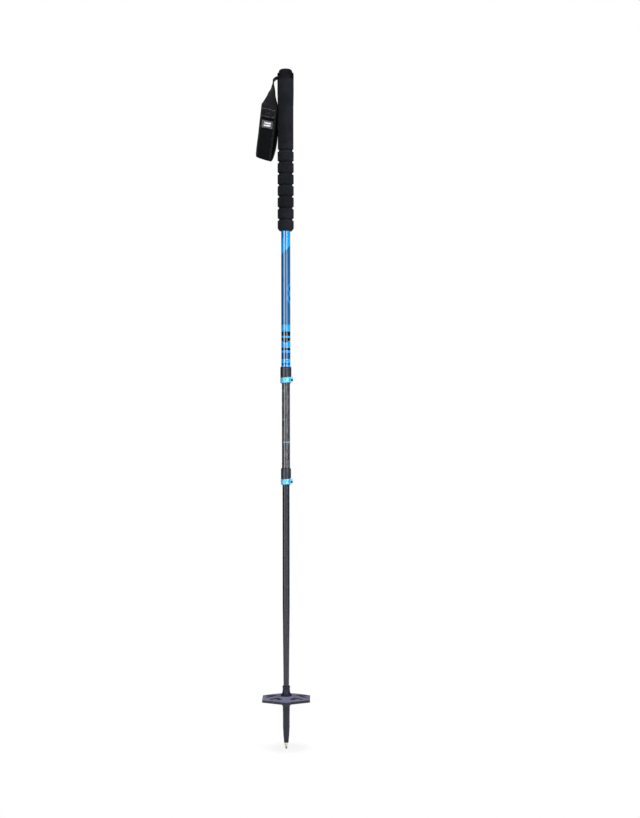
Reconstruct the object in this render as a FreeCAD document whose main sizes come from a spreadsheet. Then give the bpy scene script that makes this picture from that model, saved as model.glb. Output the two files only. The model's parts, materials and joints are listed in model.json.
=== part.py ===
import FreeCAD, Part
import math
import os
import Sketcher

# A three-section adjustable ski pole. Millimetres, +Z up the pole, origin at the end of the carbide point.
# +X is the side where the lock levers have their pivots, -X the side where the wrist strap hangs.

doc = FreeCAD.newDocument("ski_pole")
Vector = FreeCAD.Vector
Rotation = FreeCAD.Rotation
Placement = FreeCAD.Placement

# ---------------------------------------------------------------- driving dimensions

SIZES = [
    # point and tip
    ("carbide_out", 5.2, "carbide point standing out of its sleeve"),
    ("carbide_radius", 1.75, "carbide point"),
    ("carbide_deep", 9.8, "carbide point inside its sleeve"),
    ("sleeve_out", 7.7, "metal sleeve below the plastic tip"),
    ("sleeve_radius", 4.1, "metal sleeve, upper end"),
    ("sleeve_nose", 2.75, "metal sleeve, lower end"),
    ("sleeve_shoulder", 1.5, "straight stretch at the sleeve's upper end"),
    ("sleeve_spigot", 3.0, "radius of the sleeve's spigot"),
    ("sleeve_deep", 17.0, "sleeve's spigot inside the plastic tip"),
    ("tip_nose", 4.5, "radius of the plastic tip, lower end"),
    ("shank_length", 92.1, "plastic tip from its lower end to the flange"),
    ("shank_radius", 6.7, "plastic shank"),
    ("grip_land", 24.0, "true cylinder on the shank, for a rubber tip protector"),
    ("land_above_nose", 31.1, "start of that cylinder above the tip's lower end"),
    ("seat_radius", 7.0, "shank where the basket sits"),
    ("seat_length", 21.0, "height of the basket's seat"),
    ("seat_lead", 4.0, "taper from the shank up to the basket's seat"),
    ("flange_radius", 10.7, "flange above the basket"),
    ("flange_height", 3.0, "flange above the basket"),
    ("flange_edge", 0.5, "bevel on the flange's edges"),
    ("socket_height", 20.6, "flange's underside to the top of the socket"),
    ("socket_radius", 7.5, "socket for the lower tube"),
    ("neck_flare", 1.5, "socket's foot beyond its radius"),
    ("neck_flare_height", 8.0, "socket's foot"),
    ("neck_waist", 0.2, "socket's waist inside its radius"),
    ("lip_height", 6.0, "lip at the socket's mouth"),
    ("lip_edge", 1.3, "rounding of the socket's mouth"),
    # basket
    ("basket_radius", 54.4, "centre of the basket to a corner"),
    ("rim_height", 4.6, "depth of the basket's rim"),
    ("rim_width", 3.0, "width of the basket's rim"),
    ("web_recess", 2.4, "underside of the web above the rim's lower edge"),
    ("basket_rise", 2.7, "hub above the rim"),
    ("basket_crown", 0.8, "crown of the hub above its shoulder"),
    ("rim_lip", 0.3, "rim's upper edge above the web's outer edge"),
    ("rim_step", 0.1, "rim's inner part below the web's outer edge"),
    ("hub_radius", 13.0, "foot of the basket's hub"),
    ("hub_wall", 0.75, "hub at its lower end"),
    ("hub_skirt", 2.0, "hub's skirt below the rim"),
    ("hub_above_seat", 1.0, "hub's foot above the seat's foot"),
    ("slot_width", 8.0, "snow slots"),
    ("basket_gap", 0.06, "radial clearance of the hub on its seat"),
    ("face_gap", 0.3, "clearance between faces that meet across a joint"),
    # tubes
    ("tube_wall", 0.8, "wall of every tube"),
    ("upper_radius", 9.0, "upper tube"),
    ("tube_gap", 0.2, "radial clearance between one tube and the next inside it"),
    ("lower_foot", 5.55, "lower tube where it enters the socket"),
    ("taper_length", 157.0, "tapered stretch of the lower tube above the socket"),
    ("lower_deep", 30.0, "lower tube inside the socket"),
    ("lower_out", 397.7, "lower tube between the socket and the lower lock"),
    ("lower_overlap", 85.4, "lower tube above the lower lock"),
    ("middle_out", 168.1, "middle tube between the two locks"),
    ("middle_overlap", 100.3, "middle tube above the upper lock"),
    ("upper_out", 269.3, "upper tube between the upper lock and the foam"),
    ("guide_gap", 0.05, "radial clearance of the guides and lock jaws"),
    ("guide_height", 6.0, "guide ring and guide plug"),
    ("guide_edge", 0.8, "bevel on the guides"),
    ("plug_deep", 14.0, "guide plug inside the lower tube"),
    # upper lock
    ("upper_lock_height", 33.0, "collar of the upper lock"),
    ("upper_lock_wall", 1.95, "collar of the upper lock outside the upper tube"),
    ("upper_lock_seat", 17.2, "upper tube inside its collar"),
    ("upper_pivot_out", 0.15, "lever pivot beyond the upper collar's radius, along X"),
    # lower lock
    ("lower_lock_height", 33.3, "collar of the lower lock"),
    ("lower_lock_wall", 2.0, "collar of the lower lock outside the middle tube"),
    ("lower_lock_seat", 17.2, "middle tube inside its collar"),
    ("lower_pivot_out", 0.3, "lever pivot beyond the lower collar's radius, along X"),
    # both locks
    ("pivot_forward", 8.4, "lever pivot from the pole's axis, along -Y"),
    ("lever_height", 10.5, "lever, measured upright"),
    ("lever_slant", 4.5, "tilt of the lever's edges, degrees"),
    ("lever_lift", 1.6, "middle of the lever's lower edge above the collar's lower edge"),
    ("lever_thick", 1.5, "lever's band"),
    ("band_inset", 0.1, "lever's band inside the ends of its cam"),
    ("lever_edge", 0.45, "rounding of the lever's edges"),
    ("lever_start", 150.0, "free end of the lever's band round the pole, degrees from +X"),
    ("lever_merge", 5.0, "other end of the band short of the cam's direction, degrees"),
    ("waist_depth", 1.55, "collar's waist below its outer radius"),
    ("collar_edge", 1.2, "rounding of a collar's upper edge"),
    ("collar_foot_edge", 0.4, "bevel at a collar's foot"),
    ("waist_gap", 0.25, "lever's band off the waist"),
    ("boss_radius", 3.4, "lever's cam"),
    ("cam_throw", 0.5, "cam's centre off the pivot"),
    ("cam_gap", 0.1, "cam off the wear plate"),
    ("cam_relief", 0.6, "relief in the collar's shoulder above the turning cam"),
    ("relief_gap", 0.8, "turning cam off the side of that relief"),
    ("pin_radius", 2.0, "barrel pin"),
    ("pin_inset", 0.8, "barrel pin's ends inside the lever's edges"),
    ("pin_gap", 0.05, "radial clearance of the cam on the barrel pin"),
    ("ear_gap", 0.8, "half of the slit between the ears"),
    ("ear_face", 3.8, "outside of an ear from the slit's middle"),
    ("ear_reach", 2.9, "ears beyond the pivot's X"),
    ("ear_lift", 1.2, "ears above the lever's lower edge"),
    ("ear_drop", 0.4, "ears below the lever's upper edge"),
    ("slit_stop", 0.5, "collar left whole between the slit and the tube's seat"),
    ("plate_gap", 0.4, "wear plate off the waist"),
    ("plate_inset", 0.3, "wear plate inside the ears' edges"),
    ("screw_radius", 1.5, "lock screw"),
    ("screw_hole", 1.7, "hole for the lock screw"),
    ("screw_head", 2.75, "head of the lock screw"),
    ("screw_head_height", 2.6, "head of the lock screw"),
    ("head_gap", 0.15, "collar's spotface beyond the screw's head"),
    ("screw_floor", 1.0, "screw's head under its hexagon socket"),
    ("notch_height", 4.4, "notch in the cam that clears the screw"),
    ("notch_start", -114.0, "notch's first edge round the pivot, degrees from +X"),
    ("notch_sweep", 258.0, "notch, degrees"),
    # grip
    ("foam_lower_length", 159.4, "ringed foam"),
    ("foam_lower_radius", 16.05, "ringed foam"),
    ("foam_foot", 12.2, "radius of the ringed foam's lower edge"),
    ("foam_bevel", 5.0, "height of the bevel at the lower edge"),
    ("foam_edge", 1.2, "rounding above that bevel"),
    ("groove_radius", 13.4, "floor of a groove"),
    ("groove_mouth", 6.4, "groove at the surface"),
    ("groove_floor", 2.4, "groove at its floor"),
    ("groove_pitch", 22.8, "groove to groove"),
    ("foam_upper_length", 141.1, "smooth foam"),
    ("foam_upper_radius", 15.6, "smooth foam, lower stretch"),
    ("foam_swell", 0.6, "smooth foam, wider by this much below the head"),
    ("head_ring", 13.0, "head's ring"),
    ("head_edge", 1.4, "rounding of the ring's upper edge"),
    ("slot_level", 3.5, "middle of the strap slot above the ring's foot"),
    ("head_plug", 25.0, "head's plug inside the upper tube"),
    ("tube_in_head", 6.0, "upper tube's end below the head's ring"),
    ("head_spigot", 5.0, "head's spigot inside the cap"),
    ("spigot_edge", 1.0, "bevel on the spigot and on the plug's end"),
    ("cap_height", 7.5, "cap above the head's ring"),
    ("cap_radius", 13.3, "cap"),
    ("cap_flare", 0.5, "cap's foot beyond its radius"),
    ("cap_flare_height", 1.4, "cap's foot"),
    ("cap_round", 5.3, "rounding of the cap's top edge"),
    ("cap_crown", 0.25, "crown of the cap's top"),
    ("cap_wall", 2.2, "cap's wall"),
    # strap
    ("web_width", 22.0, "webbing"),
    ("web_thick", 1.3, "webbing, one layer"),
    ("band_width", 31.5, "padded band"),
    ("band_thick", 3.2, "padded band"),
    ("strap_slot", 4.4, "height of the slot in the head"),
    ("slot_side_gap", 0.5, "strap slot beyond each edge of the webbing"),
    ("slot_past_axis", 4.0, "strap slot beyond the pole's axis"),
    ("strap_pin_radius", 1.0, "cross pin in the head"),
    ("pin_past_web", 3.5, "cross pin beyond each edge of the webbing"),
    ("eye_gap", 0.1, "strap's eye inside its slot"),
    ("wedge_out", 12.0, "strap wedge's outer end from the pole's axis"),
    ("wedge_length", 8.0, "strap wedge"),
    ("wedge_taper", 1.2, "strap wedge's outer end, shorter on top by this much"),
    ("wedge_margin", 1.0, "webbing beyond each side of the wedge"),
    ("label_width", 22.0, "sewn patch"),
    ("label_height", 15.0, "sewn patch"),
    ("label_thick", 0.6, "sewn patch"),
    ("label_gap", 0.12, "sewn patch off the band"),
    ("tab_width", 19.8, "sewn end tab"),
    ("tab_thick", 1.2, "sewn end tab"),
    ("tab_gap", 0.05, "sewn end tab off the webbing"),
]

sheet = doc.addObject("Spreadsheet::Sheet", "Sizes")
for row, (alias, number, note) in enumerate(SIZES, start=1):
    sheet.set(f"A{row}", note)
    sheet.set(f"B{row}", str(number))
    sheet.setAlias(f"B{row}", alias)
doc.recompute()


class Size:
    """A number together with the spreadsheet formula that gives it."""

    def __init__(self, value, formula):
        self.value = value
        self.formula = formula

    def joined(self, other, sign, value):
        return Size(value, f"({self.formula} {sign} {other.formula})")

    def __add__(self, other):
        other = as_size(other)
        return self.joined(other, "+", self.value + other.value)

    def __sub__(self, other):
        other = as_size(other)
        return self.joined(other, "-", self.value - other.value)

    def __mul__(self, other):
        other = as_size(other)
        return self.joined(other, "*", self.value * other.value)

    def __truediv__(self, other):
        other = as_size(other)
        return self.joined(other, "/", self.value / other.value)

    def __neg__(self):
        return Size(-self.value, f"(0 - {self.formula})")


def as_size(number):
    if isinstance(number, Size):
        return number
    return Size(float(number), str(float(number)))


def direction(across, up):
    """Angle of a point from +X, in degrees, as a number without a unit."""
    value = math.degrees(math.atan2(up.value, across.value))
    return Size(value, f"(atan2({up.formula}; {across.formula}) / 1 deg)")


class Sheet:
    """The named sizes, one attribute each."""


S = Sheet()
for alias, number, note in SIZES:
    setattr(S, alias, Size(number, f"Sizes.{alias}"))

ZERO = as_size(0)
BEYOND = 20  # how far a wide cut starts outside the solid
OVERRUN = 1  # how far a drilled hole passes the solid
SLAB = 60  # side of the slanting slabs that trim the locks
FLAT_SHARE = math.cos(math.radians(30))  # middle of a hexagon's side, as a share of its corner radius

# each tube slides inside the one above; the collars grip their tubes
S.middle_radius = S.upper_radius - S.tube_wall - S.tube_gap
S.lower_radius = S.middle_radius - S.tube_wall - S.tube_gap
S.upper_lock_radius = S.upper_radius + S.upper_lock_wall
S.lower_lock_radius = S.middle_radius + S.lower_lock_wall
S.upper_pivot_across = S.upper_lock_radius + S.upper_pivot_out
S.lower_pivot_across = S.lower_lock_radius + S.lower_pivot_out

# ---------------------------------------------------------------- heights up the pole

sleeve_foot = S.carbide_out
tip_foot = sleeve_foot + S.sleeve_out
seat_top = tip_foot + S.shank_length
seat_foot = seat_top - S.seat_length
socket_top = seat_top + S.socket_height
lower_lock_foot = socket_top + S.lower_out
lower_lock_top = lower_lock_foot + S.lower_lock_height
upper_lock_foot = lower_lock_top + S.middle_out
upper_lock_top = upper_lock_foot + S.upper_lock_height
foam_foot_level = upper_lock_top + S.upper_out
foam_seam = foam_foot_level + S.foam_lower_length
head_foot = foam_seam + S.foam_upper_length
head_top = head_foot + S.head_ring
cap_top = head_top + S.cap_height

lower_tube_foot = socket_top - S.lower_deep
lower_tube_top = lower_lock_top + S.lower_overlap
middle_tube_foot = lower_lock_top - S.lower_lock_seat
middle_tube_top = upper_lock_top + S.middle_overlap
upper_tube_foot = upper_lock_top - S.upper_lock_seat
upper_tube_top = head_foot - S.tube_in_head

pieces = []

# ---------------------------------------------------------------- ways of making a piece


def bind(thing, prop, size):
    """Tie a property to the spreadsheet."""
    size = as_size(size)
    thing.setExpression(prop, size.formula)


def keep(thing, label):
    """Name a finished sub-part."""
    thing.Label = label
    pieces.append(thing)
    return thing


def new_body(label):
    body = doc.addObject("PartDesign::Body", label + "_body")
    return keep(body, label)


def new_sketch(body, role, name, level=None):
    """A sketch on one of the body's own origin planes, lifted to a level along its normal."""
    sketch = body.newObject("Sketcher::SketchObject", name)
    plane = next(item for item in body.Origin.OriginFeatures if item.Role == role)
    sketch.AttachmentSupport = [(plane, "")]
    sketch.MapMode = "FlatFace"
    if level is not None:
        bind(sketch, "AttachmentOffset.Base.z", level)
    return sketch


def place_point(sketch, line, end, across, up):
    """Fix one point of a sketch by its two distances from the origin."""
    for kind, size in (("DistanceX", across), ("DistanceY", up)):
        size = as_size(size)
        number = sketch.addConstraint(Sketcher.Constraint(kind, -1, 1, line, end, size.value))
        if "Sizes." in size.formula:
            sketch.setExpression(f"Constraints[{number}]", size.formula)


def closed_outline(sketch, corners):
    """A closed outline of straight lines through (across, up) corners."""
    corners = [(as_size(across), as_size(up)) for across, up in corners]
    ends = corners[1:] + corners[:1]
    lines = []
    for (x0, y0), (x1, y1) in zip(corners, ends):
        start = Vector(x0.value, y0.value, 0)
        end = Vector(x1.value, y1.value, 0)
        lines.append(sketch.addGeometry(Part.LineSegment(start, end), False))
    for line, following in zip(lines, lines[1:] + lines[:1]):
        sketch.addConstraint(Sketcher.Constraint("Coincident", line, 2, following, 1))
    for line, (across, up) in zip(lines, corners):
        place_point(sketch, line, 1, across, up)


def turned(label, corners):
    """A body turned about the pole's axis from an outline of (radius, height) corners."""
    body = new_body(label)
    turn(body, label, corners)
    return body


def turn(body, name, corners):
    sketch = new_sketch(body, "XZ_Plane", name + "_outline")
    closed_outline(sketch, corners)
    turning = body.newObject("PartDesign::Revolution", name + "_turned")
    turning.Profile = sketch
    turning.ReferenceAxis = (sketch, ["V_Axis"])
    turning.Angle = 360.0
    sketch.Visibility = False
    body.Tip = turning


def cylinder(name, radius, height, at=(ZERO, ZERO, ZERO), turn_to=None, angle=None):
    thing = doc.addObject("Part::Cylinder", name)
    bind(thing, "Radius", radius)
    bind(thing, "Height", height)
    if angle is not None:
        bind(thing, "Angle", angle)
    set_place(thing, at, turn_to)
    return thing


def box(name, sides, at, turn_to=None):
    thing = doc.addObject("Part::Box", name)
    for prop, side in zip(("Length", "Width", "Height"), sides):
        bind(thing, prop, side)
    set_place(thing, at, turn_to)
    return thing


def set_place(thing, at, turn_to=None):
    if turn_to is not None:
        thing.Placement = Placement(Vector(0, 0, 0), turn_to)
    for axis, size in zip("xyz", at):
        bind(thing, f"Placement.Base.{axis}", size)


def cut(name, base, tool):
    thing = doc.addObject("Part::Cut", name)
    thing.Base = base
    thing.Tool = tool
    return thing


def fuse(name, base, tool):
    thing = doc.addObject("Part::Fuse", name)
    thing.Base = base
    thing.Tool = tool
    return thing


def common(name, base, tool):
    thing = doc.addObject("Part::Common", name)
    thing.Base = base
    thing.Tool = tool
    return thing


def rounded(name, base, radius, wanted):
    """Round the edges of a finished shape that `wanted` picks."""
    doc.recompute()
    edges = [i for i, edge in enumerate(base.Shape.Edges, start=1) if wanted(edge)]
    thing = doc.addObject("Part::Fillet", name)
    thing.Base = base
    thing.Edges = [(i, radius.value, radius.value) for i in edges]
    return thing


def round_turned(body, name, radius, level, at_radius):
    """Round the round edge of a turned body that lies at a level and a radius."""
    near = 0.02
    doc.recompute()
    tip = body.Tip
    names = []
    for i, edge in enumerate(tip.Shape.Edges, start=1):
        low = edge.BoundBox.ZMin
        high = edge.BoundBox.ZMax
        if abs(low - level.value) < near and abs(high - level.value) < near:
            if abs(edge.BoundBox.XMax - at_radius.value) < near:
                names.append(f"Edge{i}")
    fillet = body.newObject("PartDesign::Fillet", name)
    fillet.Base = (tip, names)
    bind(fillet, "Radius", radius)
    body.Tip = fillet


# ---------------------------------------------------------------- tip


def make_carbide_tip():
    crown = S.carbide_radius * 0.55
    turned("carbide_tip", [
        (ZERO, ZERO),
        (crown, ZERO),
        (S.carbide_radius, S.carbide_out * 0.42),
        (S.carbide_radius, sleeve_foot + S.carbide_deep),
        (ZERO, sleeve_foot + S.carbide_deep),
    ])


def make_tip_sleeve():
    """Metal sleeve that holds the carbide point, with a spigot moulded into the plastic tip."""
    blind_end = sleeve_foot + S.carbide_deep
    turned("tip_sleeve", [
        (S.carbide_radius, sleeve_foot),
        (S.sleeve_nose, sleeve_foot),
        (S.sleeve_radius, tip_foot - S.sleeve_shoulder),
        (S.sleeve_radius, tip_foot),
        (S.sleeve_spigot, tip_foot),
        (S.sleeve_spigot, tip_foot + S.sleeve_deep),
        (ZERO, tip_foot + S.sleeve_deep),
        (ZERO, blind_end),
        (S.carbide_radius, blind_end),
    ])


def make_flex_tip():
    """Plastic tip: shank, seat for the basket, flange, and socket for the lower tube."""
    land_foot = tip_foot + S.land_above_nose
    land_top = land_foot + S.grip_land
    slope = (S.lower_radius - S.lower_foot) / S.taper_length
    bore_foot = S.lower_foot - slope * S.lower_deep
    swell = S.tip_nose + (S.shank_radius - S.tip_nose) * 0.6
    flange_top = seat_top + S.flange_height
    waist = S.socket_radius - S.neck_waist
    turned("flex_tip", [
        (S.sleeve_spigot, tip_foot),
        (S.tip_nose, tip_foot),
        (swell, tip_foot + S.land_above_nose * 0.45),
        (S.shank_radius, land_foot),
        (S.shank_radius, land_top),
        (S.seat_radius, seat_foot - S.seat_lead),
        (S.seat_radius, seat_top),
        (S.flange_radius - S.flange_edge, seat_top),
        (S.flange_radius, seat_top + S.flange_edge),
        (S.flange_radius, flange_top - S.flange_edge),
        (S.flange_radius - S.flange_edge, flange_top),
        (S.socket_radius + S.neck_flare, flange_top + S.neck_flare_height * 0.15),
        (S.socket_radius + S.neck_flare * 0.27, flange_top + S.neck_flare_height * 0.5),
        (waist, flange_top + S.neck_flare_height),
        (waist, socket_top - S.lip_height),
        (S.socket_radius, socket_top - S.lip_height * 0.58),
        (S.socket_radius, socket_top - S.lip_edge),
        (S.socket_radius - S.lip_edge * 0.54, socket_top - S.lip_edge * 0.23),
        (S.socket_radius - S.lip_edge, socket_top),
        (S.lower_foot, socket_top),
        (bore_foot, lower_tube_foot),
        (ZERO, lower_tube_foot),
        (ZERO, tip_foot + S.sleeve_deep),
        (S.sleeve_spigot, tip_foot + S.sleeve_deep),
    ])


# ---------------------------------------------------------------- basket


def slot_outline(sketch, start, end, width):
    """A straight slot with round ends, from one (x, y) centre to the other."""
    x0, y0 = (as_size(v) for v in start)
    x1, y1 = (as_size(v) for v in end)
    half = width * 0.5
    across = Vector(y0.value - y1.value, x1.value - x0.value, 0)
    across.normalize()
    side = across * half.value
    a = Vector(x0.value, y0.value, 0)
    b = Vector(x1.value, y1.value, 0)
    heading = math.atan2(across.y, across.x)
    near = sketch.addGeometry(arc_about(a, half.value, heading, heading + math.pi), False)
    far = sketch.addGeometry(arc_about(b, half.value, heading + math.pi, heading + 2 * math.pi), False)
    left = sketch.addGeometry(Part.LineSegment(a - side, b - side), False)
    right = sketch.addGeometry(Part.LineSegment(b + side, a + side), False)
    sketch.addConstraint(Sketcher.Constraint("Tangent", near, 2, left, 1))
    sketch.addConstraint(Sketcher.Constraint("Tangent", left, 2, far, 1))
    sketch.addConstraint(Sketcher.Constraint("Tangent", far, 2, right, 1))
    sketch.addConstraint(Sketcher.Constraint("Tangent", right, 2, near, 1))
    sketch.addConstraint(Sketcher.Constraint("Equal", near, far))
    place_point(sketch, near, 3, x0, y0)
    place_point(sketch, far, 3, x1, y1)
    number = sketch.addConstraint(Sketcher.Constraint("Radius", near, half.value))
    sketch.setExpression(f"Constraints[{number}]", half.formula)


def arc_about(centre, radius, start, end):
    return Part.ArcOfCircle(Part.Circle(centre, Vector(0, 0, 1), radius), start, end)


def pocket_through(body, name, sketch):
    """Cut a sketch of the XY plane out of the whole height of a body."""
    pocket = body.newObject("PartDesign::Pocket", name)
    pocket.Profile = sketch
    pocket.Type = 1
    pocket.Midplane = True
    body.Tip = pocket
    sketch.Visibility = False
    return pocket


def make_basket():
    """Six-sided basket: conical web, deeper rim, a hub on the shank, snow slots in mirrored pairs."""
    bore = S.seat_radius + S.basket_gap
    top = seat_top - S.face_gap
    rim_top = top - S.basket_rise - S.basket_crown
    rim_foot = rim_top - S.rim_height
    hub_foot = seat_foot + S.hub_above_seat
    past_corner = S.basket_radius + S.rim_width
    body = turned("snow_basket", [
        (bore, hub_foot),
        (bore + S.hub_wall, hub_foot),
        (S.hub_radius - S.hub_skirt, rim_foot - S.hub_skirt),
        (S.hub_radius + S.hub_skirt * 0.5, rim_foot + S.web_recess),
        (past_corner, rim_foot + S.web_recess),
        (past_corner, rim_top - S.rim_lip),
        (S.hub_radius, top - S.basket_crown),
        (S.hub_radius - S.hub_skirt * 0.75, top),
        (bore, top),
    ])

    # the rim hangs below the web, and everything outside the six sides comes off
    rim = new_sketch(body, "XY_Plane", "basket_rim_outline", rim_foot)
    six_sides(rim, S.basket_radius)
    six_sides(rim, S.basket_radius - S.rim_width / FLAT_SHARE)
    rim_pad = body.newObject("PartDesign::Pad", "basket_rim")
    rim_pad.Profile = rim
    bind(rim_pad, "Length", S.rim_height - S.rim_lip - S.rim_step)
    body.Tip = rim_pad
    outside = new_sketch(body, "XY_Plane", "basket_outside_outline", rim_foot - BEYOND)
    waste = S.basket_radius * 1.3
    outside.addGeometry(Part.Circle(Vector(0, 0, 0), Vector(0, 0, 1), waste.value), False)
    outside.addConstraint(Sketcher.Constraint("Coincident", 0, 3, -1, 1))
    number = outside.addConstraint(Sketcher.Constraint("Radius", 0, waste.value))
    outside.setExpression(f"Constraints[{number}]", waste.formula)
    six_sides(outside, S.basket_radius)
    trim = body.newObject("PartDesign::Pocket", "basket_sides")
    trim.Profile = outside
    trim.Reversed = True
    bind(trim, "Length", S.rim_height + 3 * BEYOND)
    body.Tip = trim
    doc.recompute()

    # one side's slots, in shares of the corner radius
    reach = S.basket_radius
    slots = [
        ((-0.43, 0.27), (-0.69, 0.40)),
        ((-0.43, 0.27), (-0.67, -0.01)),
        ((-0.54, -0.40), (-0.42, -0.34)),
        ((-0.42, -0.34), (-0.32, -0.35)),
        ((-0.32, -0.35), (-0.23, -0.48)),
    ]
    cuts = []
    for number, (start, end) in enumerate(slots, start=1):
        sketch = new_sketch(body, "XY_Plane", f"snow_slot_{number}_outline")
        width = S.slot_width
        if number == len(slots):
            # the slot nearest the front corner is wider
            width = S.slot_width * 1.25
        slot_outline(
            sketch,
            (reach * start[0], reach * start[1]),
            (reach * end[0], reach * end[1]),
            width,
        )
        cuts.append(pocket_through(body, f"snow_slot_{number}", sketch))
    doc.recompute()
    mirrored = body.newObject("PartDesign::Mirrored", "snow_slots_other_side")
    mirrored.Originals = cuts
    side_plane = next(item for item in body.Origin.OriginFeatures if item.Role == "YZ_Plane")
    mirrored.MirrorPlane = (side_plane, [""])
    body.Tip = mirrored


def six_sides(sketch, radius):
    """A regular six-sided outline with a corner towards -Y."""
    half = radius * 0.5
    flat = radius * FLAT_SHARE
    corners = [
        (ZERO, -radius),
        (flat, -half),
        (flat, half),
        (ZERO, radius),
        (-flat, half),
        (-flat, -half),
    ]
    closed_outline(sketch, corners)


# ---------------------------------------------------------------- tubes


def make_lower_tube():
    slope = (S.lower_radius - S.lower_foot) / S.taper_length
    foot = S.lower_foot - slope * S.lower_deep
    taper_top = socket_top + S.taper_length
    turned("lower_tube", [
        (foot - S.tube_wall, lower_tube_foot),
        (foot, lower_tube_foot),
        (S.lower_radius, taper_top),
        (S.lower_radius, lower_tube_top),
        (S.lower_radius - S.tube_wall, lower_tube_top),
        (S.lower_radius - S.tube_wall, taper_top),
    ])


def make_lower_guide():
    """Plug on the hidden end of the lower tube; it runs inside the middle tube."""
    run = S.middle_radius - S.tube_wall - S.guide_gap
    inside = S.lower_radius - S.tube_wall
    turned("lower_guide", [
        (ZERO, lower_tube_top - S.plug_deep),
        (inside - S.guide_edge, lower_tube_top - S.plug_deep),
        (inside, lower_tube_top - S.plug_deep + S.guide_edge),
        (inside, lower_tube_top),
        (run, lower_tube_top),
        (run, lower_tube_top + S.guide_height - S.guide_edge),
        (run - S.guide_edge, lower_tube_top + S.guide_height),
        (ZERO, lower_tube_top + S.guide_height),
    ])


def make_middle_tube():
    turned("middle_tube", [
        (S.middle_radius - S.tube_wall, middle_tube_foot),
        (S.middle_radius, middle_tube_foot),
        (S.middle_radius, middle_tube_top),
        (S.middle_radius - S.tube_wall, middle_tube_top),
    ])


def make_middle_guide():
    """Ring on the hidden end of the middle tube; open, so the lower tube can pass through it."""
    run = S.upper_radius - S.tube_wall - S.guide_gap
    bore = S.middle_radius - S.tube_wall
    turned("middle_guide", [
        (bore, middle_tube_top),
        (run, middle_tube_top),
        (run, middle_tube_top + S.guide_height - S.guide_edge),
        (run - S.guide_edge, middle_tube_top + S.guide_height),
        (bore, middle_tube_top + S.guide_height),
    ])


def make_upper_tube():
    turned("upper_tube", [
        (S.upper_radius - S.tube_wall, upper_tube_foot),
        (S.upper_radius, upper_tube_foot),
        (S.upper_radius, upper_tube_top),
        (S.upper_radius - S.tube_wall, upper_tube_top),
    ])


# ---------------------------------------------------------------- lever locks


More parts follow.
